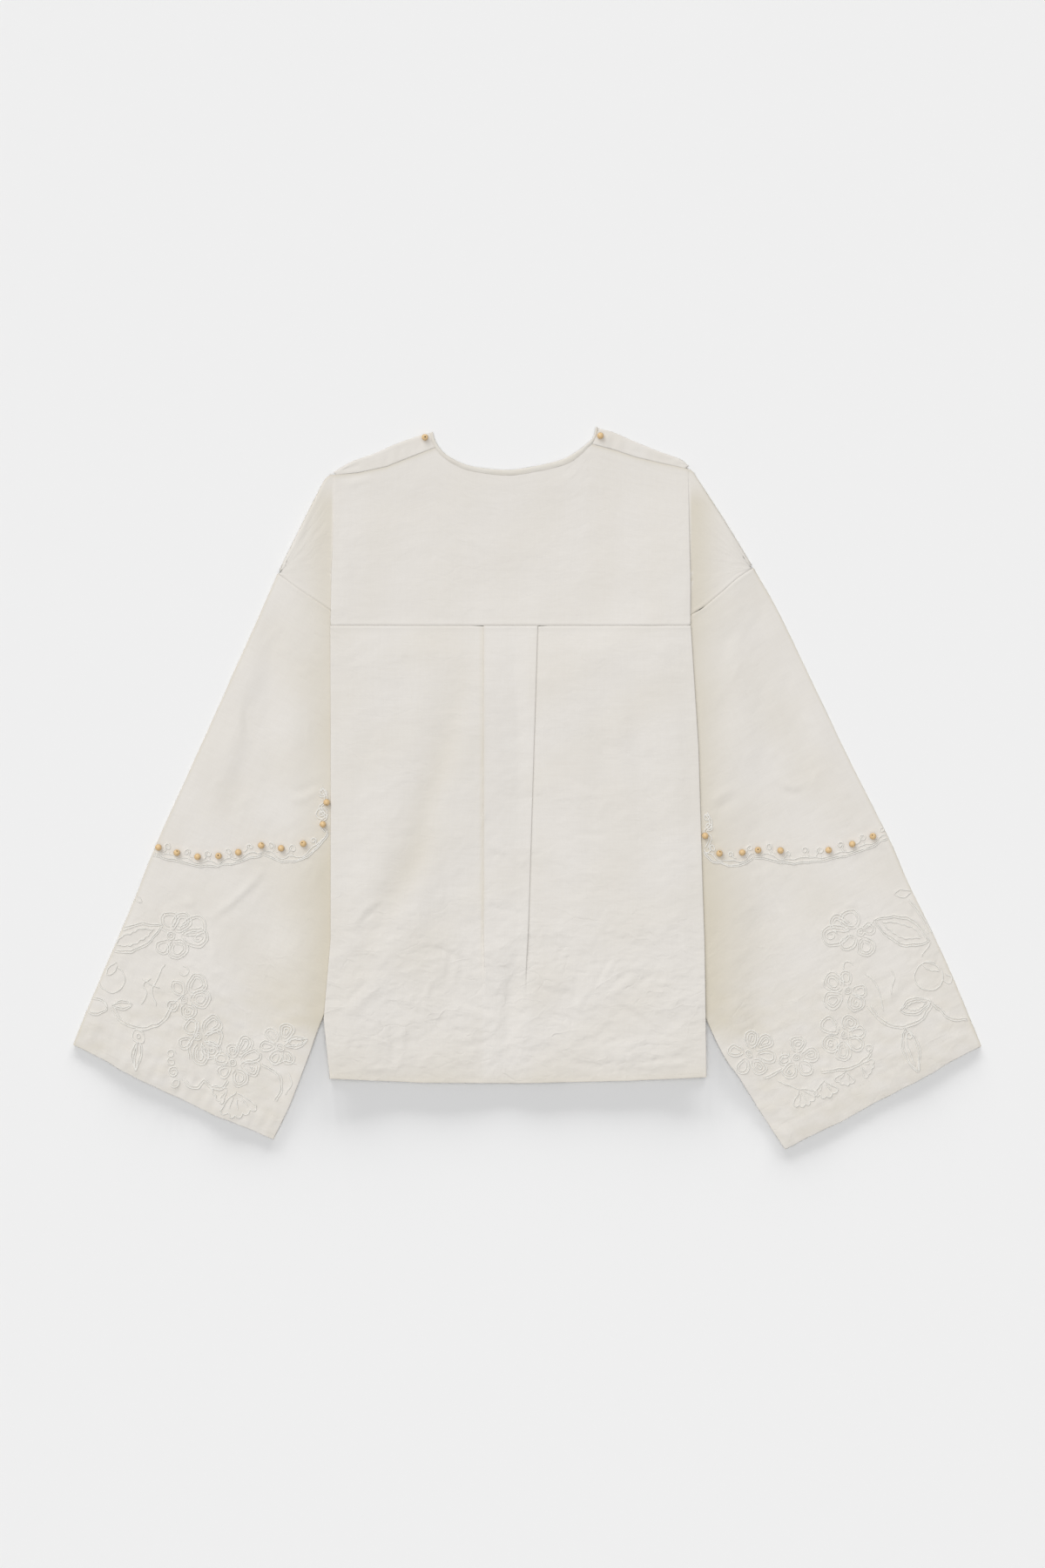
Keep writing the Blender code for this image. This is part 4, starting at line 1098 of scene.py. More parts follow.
@dataclass
class BackPanel(ClothPiece):
    """The back below the yoke: turned-under sides, two side folds and the box pleat."""

    node: ClassVar[str] = "back_panel"
    sheet: ClassVar[dict] = {"flat": (0.719, 0.456), "held": "folded", "rests_on": UNDER_BACK}
    step: float = 2.6
    arc_steps: int = 6
    hem_depth: float = 4.3
    hem_rise: float = 0.14
    fullness: float = 1.5
    creases: tuple = BACK_CREASES
    strewn: tuple = (
        Scatter((-190, -285), (170, -140), 150, 22, 2, 0.34, 20, 75, 11),
        Scatter((-190, -150), (168, 10), 70, 20, 2.2, 0.30, 15, 60, 12),
        Scatter((-190, -290), (172, -252), 55, 9, 2.6, 0.38, 80, 30, 13),
        Scatter((-185, 20), (160, 155), 22, 22, 3, 0.22, 5, 40, 14),
    )

    def relief(self, x: Array, y: Array) -> Array:
        """Lift of the creases, the hem and the pull along the yoke seam."""
        small = [crease for patch in self.strewn for crease in patch.creases()]
        off_hem = y - outline_y(HEM, x)
        inside = np.minimum(x - LEFT.fold_x(y), RIGHT.fold_x(y) - x)
        full = smooth(-2, 34, inside) * smooth(0, 30, YOKE_SEAM_Y - y)
        full = full * (0.25 + 0.75 * smooth(-4, 32, off_hem))
        lift = creased(self.creases, x, y) + creased(small, x, y)
        lift = lift + 0.25 * ripple(x, y, 46, 5) + 0.08 * ripple(x, y, 12, 6)
        band = 1 - smooth(self.hem_depth - 0.5, self.hem_depth + 0.4, off_hem)
        groove = np.exp(-((off_hem - self.hem_depth) / 0.7) ** 2)
        pucker = ripple(x, 0.2 * y, 6.5, 7) * np.exp(-(off_hem / 9) ** 2)
        lift = lift * (0.35 + 0.65 * full)
        lift = lift + self.fullness * full + self.hem_rise * band - 0.1 * groove + 0.16 * pucker
        return np.clip(lift, -0.5, 2.8)

    def worn(self, x: Array, y: Array) -> Array:
        """Fine wrinkles: most in the lower third, with a few soft patches above."""
        low = 1 - smooth(-190, -60, y)
        return 0.28 + 0.6 * low + 0.14 * ripple(x, y, 70, 8)

    def tone_and_shade(self, x: Array, y: Array) -> Array:
        """Soft warm patches of tone, warmer at the hem and whiter on the pleat, with painted shade
        in a thin line beside the pleat's left fold and in the long trough.
        """
        edge = 0.42 * np.exp(-np.maximum(y - outline_y(HEM, x), 0) / 12)
        pleat = smooth(PLEAT_LEFT_X - 3, PLEAT_LEFT_X + 3, x) * smooth(-12, 2, -x)
        # Painted shade: a thin dark line just left of the pleat's left fold, where the pleat is
        # still folded
        painted_fold_shade = 0.5 * np.exp(-((x - PLEAT_LEFT_X + 0.9) / 1.9) ** 2)
        painted_fold_shade = painted_fold_shade * smooth(PLEAT_GONE_AT_Y, PLEAT_FLAT_AT_Y, y)
        # Painted shade along the long diagonal trough
        painted_trough_shade = -0.13 * LONG_TROUGH.relief(x, y)
        return 0.08 + 0.08 * ripple(x, y, 70, 21) + edge - 0.1 * pleat + painted_fold_shade + painted_trough_shade

    def top(self, x: Array, y: Array) -> Array:
        """Height of the upper face away from the pleat."""
        return back_height(x, y) + self.relief(x, y) + HALF

    def points(self) -> Array:
        """The grid of the panel's middle surface.

        A row runs from the left side seam under the panel to the left fold, round it,
        over the top with the pleat's two folds, and back under on the right.

        Returns:
            Rows by columns by 3, in millimetres.
        """
        length = YOKE_SEAM_Y - HALF_SEAM - HEM_MIDDLE_Y
        share = stations(length, self.step, (0, 0.7, 2, 3.7, 5.1, 6.1, 7.1, 8.9),
                         (0, 0.3, 0.8, 1.4, 2.3, 3.6))
        share = share * (0.7 + 0.3 * share)
        y = HEM_MIDDLE_Y + length * share
        opened = 1 - smooth(PLEAT_GONE_AT_Y, PLEAT_FLAT_AT_Y, y)
        depth = LEAST_RETURN + PLEAT_DEPTH * smooth(PLEAT_FLAT_AT_Y, 60, y)
        pleat_x, pleat_z = z_fold(math.pi * (1 - opened), depth, PLEAT_RADIUS, self.arc_steps)
        inset = (depth / 2 + PLEAT_RADIUS + HALF)[:, None]
        right_edge = PLEAT_RIGHT_LOW_X + (PLEAT_RIGHT_TOP_X - PLEAT_RIGHT_LOW_X) * share
        left_x = PLEAT_LEFT_X + inset + pleat_x
        right_x = (right_edge[:, None] - inset - pleat_x)[:, ::-1]
        strips = []
        turn = np.linspace(0, math.pi, 2 * self.arc_steps + 1)[None, 1:-1]
        for side, caught in ((LEFT, left_x[:, :1]), (RIGHT, right_x[:, -1:])):
            start, under, arc = side.turned_in(y, np.linspace(0, 1, 8)[None, :], turn)
            flat = start + (caught - start) * np.linspace(0, 1, 66)[None, :-1]
            x = np.hstack([under, arc, flat])
            top = np.hstack([back_height(under, y[:, None]),
                             np.tile(back_height(start, y[:, None]), (1, arc.shape[1])),
                             back_height(flat, y[:, None])])
            drop = np.concatenate([np.full(under.shape[1], FOLD_STEP),
                                   FOLD_RADIUS * (1 + np.cos(turn[0])),
                                   np.zeros(flat.shape[1])])
            share_up = 1 - 0.8 * drop / FOLD_STEP
            strips.append([x, top - drop[None, :], np.tile(share_up, (len(y), 1))])
        between = left_x[:, -1:] + (right_x[:, :1] - left_x[:, -1:]) * np.linspace(0, 1, 28)[1:-1]
        flat_y = y[:, None]
        middle = [(left_x, pleat_z), (between, np.tile(pleat_z[:, -1:], (1, between.shape[1]))),
                  (right_x, pleat_z[:, ::-1])]
        x = np.hstack([strips[0][0]] + [m[0] for m in middle] + [strips[1][0][:, ::-1]])
        z = np.hstack([strips[0][1]] + [back_height(m[0], flat_y) + m[1] for m in middle]
                      + [strips[1][1][:, ::-1]])
        weight = np.hstack([strips[0][2], np.ones((len(y), sum(m[0].shape[1] for m in middle))),
                            strips[1][2][:, ::-1]])
        hem = outline_y(HEM, x)
        rows_y = hem + (YOKE_SEAM_Y - HALF_SEAM - hem) * share[:, None]
        lift = self.relief(x, rows_y) * weight
        lift = lift + welt(YOKE_SEAM_Y - rows_y) * weight
        return np.dstack([x, rows_y, z + lift])


YOKE_CREASES = crease_table(
    (3, -0.8, 0.4, (-186, 318), (-178, 320), (-168, 321)),
    (3.2, -0.7, 0.4, (-188, 308), (-176, 311), (-160, 312)),
    (3.4, 0.5, 0, (-184, 300), (-170, 306), (-150, 309)),
    (14, -0.5, 0, (-178, 296), (-120, 280), (-70, 290)),
    (16, 0.4, 0, (-80, 250), (-20, 236), (50, 250)),
    (12, -0.4, 0, (60, 300), (90, 270), (96, 220)),
    (12, 0.5, 0, (120, 290), (140, 240), (138, 190)),
    (7, 0.5, 0, (-180, 260), (-182, 220), (-180, 175)),
    (12, -0.35, 0, (-60, 200), (-30, 190), (20, 196)),
    (8, -0.4, 0, (104, 196), (112, 186), (124, 172)),
    (9, -0.5, 0, (-232, 236), (-222, 214), (-212, 190)),
    (9, -0.5, 0, (186, 262), (196, 236), (204, 200)),
    (3.5, 0.6, 0, (160, 306), (166, 296), (170, 284)),
)


@dataclass
class BackYoke(ClothPiece):
    """The back yoke with its round neckline and its two lobes over the upper arms."""

    node: ClassVar[str] = "back_yoke"
    sheet: ClassVar[dict] = {"flat": (0.50, 0.182), "held": "laid", "area": 0.074,
                             "rests_on": UNDER_BACK}
    step: float = 2.6
    lobe_columns: int = 22
    fold_steps: int = 5
    fold_depth: float = 6
    fold_radius: float = 0.725
    roll: float = 2.8
    border_z: float = 0.6
    creases: tuple = YOKE_CREASES
    strewn: tuple = (
        Scatter((-185, 170), (155, 300), 26, 24, 3.2, 0.16, 0, 45, 31),
    )

    def relief(self, x: Array, y: Array) -> Array:
        """Lift of the creases, with soft unevenness over the whole yoke."""
        small = [crease for patch in self.strewn for crease in patch.creases()]
        lift = creased(self.creases, x, y) + creased(small, x, y)
        return lift + 0.16 * ripple(x, y, 52, 32) + 0.05 * ripple(x, y, 13, 33)

    def top(self, x: Array, y: Array) -> Array:
        """Height of the upper face between the side folds."""
        return yoke_height(x, y) + np.clip(self.relief(x, y), -0.6, 1.5) + HALF

    def lobe_top(self, side: Side, x: Array, y: Array) -> Array:
        """Height of the upper face on a lobe."""
        return side.lobe_height(x, y) + np.clip(self.relief(x, y), -0.5, 1) + HALF

    def side_columns(self, side: Side, share: Array) -> tuple[Array, Array, Array]:
        """Columns from the shoulder point in across the side fold.

        Args:
            side: the side wanted.
            share: shares of the way from the yoke seam to the shoulder.

        Returns:
            The x of the lobe's columns, and the x and z of the fold's.
        """
        low_y = YOKE_SEAM_Y + HALF_SEAM
        edge_y = float(yoke_border_y(side.fold[-1].x))
        y = low_y + (edge_y - low_y) * share
        edge = side.fold_x(y)
        lobe = side.lobe_height(edge, y)
        rise = back_height(edge, y) - lobe
        full = float(np.max(rise))
        closed = np.clip(rise / (full * 0.9), 0, 1)
        depth = LEAST_RETURN + self.fold_depth * smooth(0.9, 1, rise / full)
        x, z = z_fold(np.arccos(1 - 2 * closed), depth, self.fold_radius, self.fold_steps)
        scale = rise / np.maximum(z[:, -1], 0.01)
        inset = depth / 2 + self.fold_radius + SOLID_WALL / 2
        fold = edge[:, None] - side.sign * (inset[:, None] + x)
        outer = side.shoulder.x - side.sign * 1.4
        steps = np.linspace(0, 1, self.lobe_columns, endpoint=False)[None, :]
        return outer + (fold[:, :1] - outer) * steps, fold, lobe[:, None] + z * scale[:, None]

    def points(self) -> Array:
        """The grid of the yoke's middle surface, with its rolled upper border.

        Returns:
            Rows by columns by 3, in millimetres.
        """
        share = stations(151, self.step, (0, 0.4, 1, 1.8, 3, 4.6), (0,))
        left_x, left_fold, left_z = self.side_columns(LEFT, share)
        right_x, right_fold, right_z = self.side_columns(RIGHT, share)
        inner = np.linspace(INNER_LEFT_X, INNER_RIGHT_X, int(INNER_WIDTH / self.step))
        breaks = [p.x for side in SIDES for p in side.band_seam[:-1]]
        inner = np.unique(np.concatenate([inner, breaks]))
        middle = np.tile(inner, (len(share), 1))
        x = np.hstack([left_x, left_fold, middle, right_fold[:, ::-1], right_x[:, ::-1]])
        lobes, folds, columns = left_x.shape[1], left_fold.shape[1], x.shape[1]
        low = np.full(columns, YOKE_SEAM_Y + HALF_SEAM)
        half = folds // 2
        for side, way in ((LEFT, 1), (RIGHT, -1)):
            order = np.arange(columns)[::way]
            outside = order[:lobes + half]
            low[outside] = side.seam_y(x[0, outside]) + CLOSE_SEAM
            low[outside[lobes:]] += 0.5
            between = order[lobes + half:lobes + folds]
            low[between] = np.linspace(low[outside[-1]], low[between[-1]],
                                       len(between) + 1)[1:]
        top_x = x[-1]
        top_y = yoke_border_y(top_x)
        slope = (yoke_border_y(top_x + 5) - yoke_border_y(top_x - 5)) / 10
        inward = unit(np.column_stack([slope, -np.ones_like(slope)]))
        arm_left, arm_right = LEFT.upper_arm[0].x, RIGHT.upper_arm[0].x
        rolled = 1 - smooth(arm_left - 4, arm_left - 1, top_x)
        rolled = rolled + smooth(arm_right + 1, arm_right + 4, top_x)
        neck = (top_x > LEFT.band_seam[0].x + 1) & (top_x < RIGHT.band_seam[0].x - 1)
        border = np.where(rolled > 0.5, HALF, np.where(neck, 2, CLOSE_SEAM))
        edge = np.column_stack([top_x, top_y])
        start = edge + inward * self.roll
        y = low[None, :] + (start[:, 1] - low)[None, :] * share[:, None]
        x = x + (start[:, 0] - top_x)[None, :] * (share[:, None] ** 2)
        z = yoke_height(x, y)
        z[:, :lobes] = LEFT.lobe_height(x[:, :lobes], y[:, :lobes])
        z[:, -lobes:] = RIGHT.lobe_height(x[:, -lobes:], y[:, -lobes:])
        z[:, lobes:lobes + folds] = left_z
        z[:, -lobes - folds:-lobes] = right_z[:, ::-1]
        z = z + np.clip(self.relief(x, y), -0.6, 1.5) + welt(y - low[None, :])
        rows = [np.dstack([x, y, z])]
        for turn in np.linspace(0, math.pi / 2, 7)[1:]:
            away = self.roll - (self.roll - HALF) * math.sin(turn)
            place = edge + inward * np.maximum(away, border)[:, None]
            if turn > 1.5:
                place = edge + inward * border[:, None]
            lowered = z[-1] + (self.border_z - z[-1]) * (1 - math.cos(turn)) * rolled
            rows.append(np.dstack([place[None, :, 0], place[None, :, 1], lowered[None, :]]))
        return np.concatenate(rows, axis=0)

    def tone_and_shade(self, x: Array, y: Array) -> Array:
        """Painted shade on the lobes beside the side folds, over soft patches of tone, and a
        darker, warmer line along the top border.
        """
        shade = 0.06 + 0.05 * ripple(x, y, 60, 34)
        # Painted shade on each lobe, just outside its side fold
        for side, strength in ((LEFT, 0.55), (RIGHT, 0.75)):
            off = (x - side.fold_x(y)) * side.sign
            below = 1 - smooth(280, 310, y)
            shade = shade + strength * np.exp(-(off / 24) ** 2) * (off > 0) * below
        shade = shade + 0.6 * np.exp(-((yoke_border_y(x) - y) / 2.4) ** 2)
        return np.clip(shade, 0, 1)


@dataclass
class FrontPanel(ClothPiece):
    """The front, flat on the floor, its sides turned up and in over itself."""

    node: ClassVar[str] = "front_panel"
    sheet: ClassVar[dict] = {"flat": (0.65, 0.655), "held": "folded", "area": 0.355}
    merge: ClassVar[float] = 0.02
    shade: ClassVar[tuple] = (0.10, 0.08, 70, 43)
    wall: float = WALL - 0.1
    step: float = 5
    arc_steps: int = 6

    def level(self, x: Array, y: Array) -> Array:
        """Middle height of the flat cloth: pressed on the floor but for soft ridges."""
        lift = np.clip(0.35 * ripple(x, y, 60, 41) + 0.15 * ripple(x, y, 17, 42), 0, 0.5)
        return HALF + 0.05 + lift

    def outline(self) -> list[tuple]:
        """The upper outline from shoulder to shoulder, with the front neckline."""
        points = [LEFT.shoulder, RIGHT.shoulder]
        for side in SIDES:
            points += side.upper_arm + side.shoulder_edge[1:]
        low, high = FRONT_NECKLINE[0].x, FRONT_NECKLINE[-1].x
        return [p for p in points if not low < p.x < high] + list(FRONT_NECKLINE)

    def grids(self) -> list[Array]:
        """The grids of the body, the shoulders and the two lobes, sharing their edges.

        Returns:
            Arrays of rows by columns by 3, in millimetres.
        """
        length = YOKE_SEAM_Y - HALF_SEAM - HEM_MIDDLE_Y
        share = stations(length, self.step)
        y = HEM_MIDDLE_Y + length * share
        turn = np.linspace(0, math.pi, 2 * self.arc_steps + 1)[None, :]
        halves = []
        for side in SIDES:
            _, under, arc = side.turned_in(y, np.linspace(0, 1, 20)[None, :-1], turn)
            raised = FOLD_RADIUS * (1 + np.cos(turn))
            lift = np.hstack([np.full_like(under, FOLD_STEP), np.tile(raised, (len(y), 1))])
            halves.append((np.hstack([under, arc]), lift))
        inner = np.linspace(INNER_LEFT_X, INNER_RIGHT_X, int(INNER_WIDTH / self.step))
        breaks = [p.x for p in FRONT_NECKLINE] + [p.x for s in SIDES for p in s.shoulder_edge]
        inner = np.unique(np.concatenate([inner, breaks]))
        inner = inner[(inner >= INNER_LEFT_X) & (inner <= INNER_RIGHT_X)]
        middle = np.tile(inner, (len(y), 1))
        x = np.hstack([halves[0][0], middle, halves[1][0][:, ::-1]])
        lift = np.hstack([halves[0][1], np.zeros_like(middle), halves[1][1][:, ::-1]])
        hem = outline_y(HEM, x)
        rows_y = hem + (YOKE_SEAM_Y - HALF_SEAM - hem) * share[:, None]
        body = np.dstack([x, rows_y, self.level(x, rows_y) + lift])
        first, last = halves[0][0].shape[1] - 1, x.shape[1] - halves[1][0].shape[1]
        across = x[-1, first:last + 1]
        border = outline_y(self.outline(), across) - 3.1
        low = np.full_like(across, YOKE_SEAM_Y - HALF_SEAM)
        meet = (low + border) / 2
        meet[0] = LEFT.seam_y(across[:1])[0] + HALF_SEAM
        meet[-1] = RIGHT.seam_y(across[-1:])[0] + HALF_SEAM
        below, above = np.linspace(0, 1, 8)[:, None], np.linspace(0, 1, 26)[1:, None]
        upper_y = np.vstack([low + (meet - low) * below, meet + (border - meet) * above])
        upper_x = np.tile(across, (len(upper_y), 1))
        grids = [body, np.dstack([upper_x, upper_y, self.level(upper_x, upper_y)])]
        full = np.vstack([[0], above])
        for side, column in ((LEFT, 0), (RIGHT, -1)):
            outer = side.shoulder.x - side.sign * 5.3
            lobe_x = np.linspace(outer, across[column], 12)
            steep = np.hypot(1, np.gradient(outline_y(self.outline(), lobe_x), lobe_x))
            bottom = side.seam_y(lobe_x) + HALF_SEAM
            top = outline_y(self.outline(), lobe_x) - 2.6 * steep
            top[-1] = border[column]
            lobe_y = bottom + (top - bottom) * full
            wide = np.tile(lobe_x, (len(full), 1))
            grids.append(np.dstack([wide, lobe_y, self.level(wide, lobe_y)]))
        return grids


@dataclass
class ShoulderBand(ClothPiece):
    """The band of the front that comes over the shoulder and rolls round its edge."""

    sheet: ClassVar[dict] = {"flat": (0.108, 0.018), "held": "laid", "area": 0.0016,
                             "rests_on": ["front_panel_cloth"]}
    shade: ClassVar[tuple] = (0.12, 0.08, 40, 52)
    side: Side
    yoke: BackYoke
    columns: int = 46

    def points(self) -> Array:
        """The grid of the band, from its seam on the yoke out and down round the edge.

        Returns:
            Rows by columns by 3, in millimetres.
        """
        shares = np.linspace(0, 1, self.columns)
        edge = curve(self.side.shoulder_edge, shares)
        table = np.array(self.side.band_seam)
        knots = np.linspace(0, 1, len(table))
        seam = np.column_stack([np.interp(shares, knots, table[:, k]) for k in (0, 1)])
        width = np.hypot(*(seam - edge).T)
        inward = (seam - edge) / width[:, None]
        rows = []
        for part in np.linspace(1, 0.35, 9):
            away = width * part - CLOSE_SEAM * (part == 1)
            place = edge + inward * away[:, None]
            level = yoke_height(*place.T) + np.clip(self.yoke.relief(*place.T), -0.6, 1.5)
            tuck = 0.35 * ripple(place[:, 0], 0.3 * place[:, 1], 11, 51) * np.sin(math.pi * part)
            rows.append(np.column_stack([place, level + tuck + 0.25 * welt(width - away)]))
        for turn in np.linspace(0, math.pi / 2, 8):
            away = 2.8 - (2.8 - HALF) * math.sin(turn)
            place = edge + inward * np.minimum(away, 0.3 * width)[:, None]
            level = yoke_height(*place.T)
            rows.append(np.column_stack([place, level + (0.6 - level) * (1 - math.cos(turn))]))
        return np.stack(rows)

    @property
    def node(self) -> str:
        """The name of its solid."""
        return f"front_shoulder_{self.side.name}"


@dataclass
class NeckBinding(ClothPiece):
    """The binding: a strip over the yoke's neck edge, turned down over it."""

    node: ClassVar[str] = "neck_binding"
    sheet: ClassVar[dict] = {"flat": (0.185, 0.010), "held": "folded", "area": 0.00115,
                             "rests_on": ["back_yoke_cloth"]}
    finish: ClassVar[str] = "binding"
    slot: ClassVar[str] = "binding"
    shade: ClassVar[tuple] = (0.15, 0.12, 30, 61)
    yoke: BackYoke
    steps: int = 120
    wall: float = 0.5
    bend: float = 0.28
    drop: float = 1.4
    widths: tuple = table(WidthRow, (0, 3), (0.25, 4.6), (0.5, 5.6), (0.8, 5.6), (0.9, 3.2),
                          (1, 2.4))

    def layout(self) -> tuple[Array, Array, Array]:
        """The neckline's points, the way into the cloth at each, and the strip's widths."""
        shares = np.linspace(0, 1, self.steps)
        edge = curve(BACK_NECKLINE, shares)
        run = unit(np.gradient(edge, axis=0))
        into = np.column_stack([run[:, 1], -run[:, 0]])
        return edge, into, read(self.widths, shares)

    def row(self, away: Array, share: float) -> Array:
        """Points of the strip's middle surface at a distance in from the neck edge.

        It lies on the yoke, fullest in its middle and pulled down at its seam.

        Args:
            away: that distance, one for each point.
            share: its share of the strip's width.

        Returns:
            Points by 3.
        """
        edge, into, _ = self.layout()
        place = edge + into * away[:, None]
        ground = self.yoke.top(*(edge + into * 3).T)
        crown = 0.45 * math.sin(math.pi * min(1, share + 0.1)) - 0.3 * share ** 6
        ease = 0.12 * ripple(place[:, 0], place[:, 1], 8, 62)
        return np.column_stack([place, ground + self.wall / 2 + 0.1 + crown + ease])

    def points(self) -> Array:
        """The grid of the strip, from its seam out and down round the neck edge.

        Returns:
            Rows by columns by 3, in millimetres.
        """
        edge, into, width = self.layout()
        rows = [self.row(width * share, share) for share in
                (1, 0.95, 0.88, 0.78, 0.66, 0.54, 0.4, self.bend)]
        inner = self.bend * width
        for turn in np.linspace(0, math.pi / 2, 6)[1:]:
            away = inner - (inner - self.wall / 2) * math.sin(turn)
            lowered = rows[7][:, 2] - self.drop * (1 - math.cos(turn))
            rows.append(np.column_stack([edge + into * away[:, None], lowered]))
        return np.stack(rows)


def ring(centre: tuple, radius: float, turns: float = 1, start: float = 0,
         inner: float = 1) -> Array:
    """A ring, or a spiral where turns and inner differ from 1.

    Args:
        centre: its middle.
        radius: its radius at the start.
        turns: how often it goes round.
        start: angle of its start, in degrees.
        inner: its last radius as a share of the first.

    Returns:
        Points by 2.
    """
    count = max(10, int(18 * turns))
    angle = math.radians(start) + np.linspace(0, 2 * math.pi * turns, count)
    size = radius * np.linspace(1, inner, count)
    return np.column_stack([centre[0] + size * np.cos(angle), centre[1] + size * np.sin(angle)])


def beside(line: Array, distance: float) -> Array:
    """A line moved sideways: each point goes square to its own direction."""
    run = np.gradient(line, axis=0)
    run /= np.hypot(*run.T)[:, None] + 1e-9
    return line + np.column_stack([-run[:, 1], run[:, 0]]) * distance


class Inside(Enum):
    """What a petal holds."""

    PLAIN = "plain"
    ECHO = "echo"
    CURL = "curl"


@dataclass(frozen=True)
class Petal:
    """A round petal on a flower: a loop from the flower's middle, with a second inside."""

    middle: tuple
    radius: float
    root: tuple
    holds: Inside = Inside.ECHO

    def loop(self, inset: float) -> Array:
        """A drop-shaped loop drawn in by inset, its point towards the flower's middle."""
        away = np.array(self.middle) - np.array(self.root)
        reach = float(np.hypot(*away))
        away = away / reach
        square = np.array([-away[1], away[0]])
        size = self.radius - inset
        angle = np.linspace(-0.97, 0.97, 30) * math.pi
        back = max(size, 0.62 * reach - 1.2 * inset)
        run = np.where(np.cos(angle) > 0, size, back) * np.cos(angle)
        wide = 1.06 * size * np.sin(angle) * (1 + 0.1 * np.cos(angle))
        return np.array(self.middle) + np.outer(run, away) + np.outer(wide, square)

    def lines(self) -> list[Array]:
        """The cords of the petal."""
        made = [self.loop(0), self.loop(2.4)]
        if self.holds is Inside.ECHO:
            made.append(self.loop(min(4.8, self.radius - 1.5)))
        if self.holds is Inside.CURL:
            back = np.array(self.root) - np.array(self.middle)
            toward = math.degrees(math.atan2(back[1], back[0]))
            made.append(ring(self.middle, self.radius - 4.2, 1.4, toward, 0.25))
        return made


@dataclass(frozen=True)
class Leaf:
    """A pointed leaf: two arcs from base to tip, with toothed lines inside."""

    base: tuple
    tip: tuple
    bulge: float
    teeth: int = 0
    skew: float = 0

    def side(self, bulge: float, shrink: float = 1, teeth: int = 0) -> Array:
        """One long side of the leaf, bowed out by bulge, with teeth on it if wanted."""
        base, tip = np.array(self.base), np.array(self.tip)
        middle = (base + tip) / 2
        base, tip = middle + (base - middle) * shrink, middle + (tip - middle) * shrink
        run = tip - base
        square = np.array([-run[1], run[0]]) / np.hypot(*run)
        share = np.linspace(0, 1, max(16, 8 * teeth + 1))
        bow = bulge * np.sin(math.pi * share) ** 0.8 * (1 + self.skew * (0.5 - share))
        if teeth:
            bow = bow + 1.3 * np.sign(bulge) * (2 * np.abs((share * teeth) % 1 - 0.5) - 0.5)
        return base + np.outer(share, run) + np.outer(bow, square)

    def lines(self) -> list[Array]:
        """The cords of the leaf."""
        made = [self.side(self.bulge), self.side(-self.bulge)]
        if abs(self.bulge) > 4:
            inner = self.bulge - math.copysign(2.2, self.bulge)
            made += [self.side(inner, 0.93), self.side(-inner, 0.93)]
        if self.teeth:
            made.append(self.side(self.bulge * 0.45, 0.72, self.teeth))
            made.append(self.side(-self.bulge * 0.45, 0.66, self.teeth))
        return made


@dataclass(frozen=True)
class Stem:
    """A cord laid along a curve, once or twice side by side."""

    path: tuple
    gap: float = 0

    def lines(self) -> list[Array]:
        """The cords of the stem."""
        line = even(self.path, 1.6)
        if not self.gap:
            return [line]
        return [beside(line, self.gap / 2), beside(line, -self.gap / 2)]


@dataclass(frozen=True)
class Curl:
    """A ring or a coil."""

    middle: tuple
    radius: float
    turns: float = 1
    start: float = 0
    inner: float = 1

    def lines(self) -> list[Array]:
        """The cord of the curl."""
        return [ring(self.middle, self.radius, self.turns, self.start, self.inner)]


@dataclass(frozen=True)
class Fan:
    """A shell: rays from its apex inside a scalloped rim."""

    apex: tuple
    radius: float
    heading: float
    spread: float = 110
    scallops: int = 5

    def lines(self) -> list[Array]:
        """The cords of the fan."""
        heading, spread = math.radians(self.heading), math.radians(self.spread)
        angle = heading + np.linspace(-0.5, 0.5, 8 * self.scallops + 1) * spread
        wave = np.abs(np.sin(np.linspace(0, math.pi * self.scallops, len(angle))))
        size = self.radius * (0.86 + 0.14 * wave)
        apex = np.array(self.apex)
        rim = apex + np.column_stack([size * np.cos(angle), size * np.sin(angle)])
        made = [np.vstack([apex, rim, apex])]
        for turn in heading + np.linspace(-0.3, 0.3, self.scallops - 2) * spread:
            way = np.array([math.cos(turn), math.sin(turn)])
            made.append(apex + np.outer(np.linspace(0.25, 0.72, 6) * self.radius, way))
        return made


def flower(middle: tuple, eye: float, petals: Sequence[tuple]) -> list:
    """A flower: a ringed eye and its petals, each told by its place, size and filling."""
    made = [Curl(middle, eye), Curl(middle, eye * 0.45)]
    made += [Petal(place, radius, middle, holds) for place, radius, holds in petals]
    return made


PLAIN, ECHO, CURL = Inside.PLAIN, Inside.ECHO, Inside.CURL

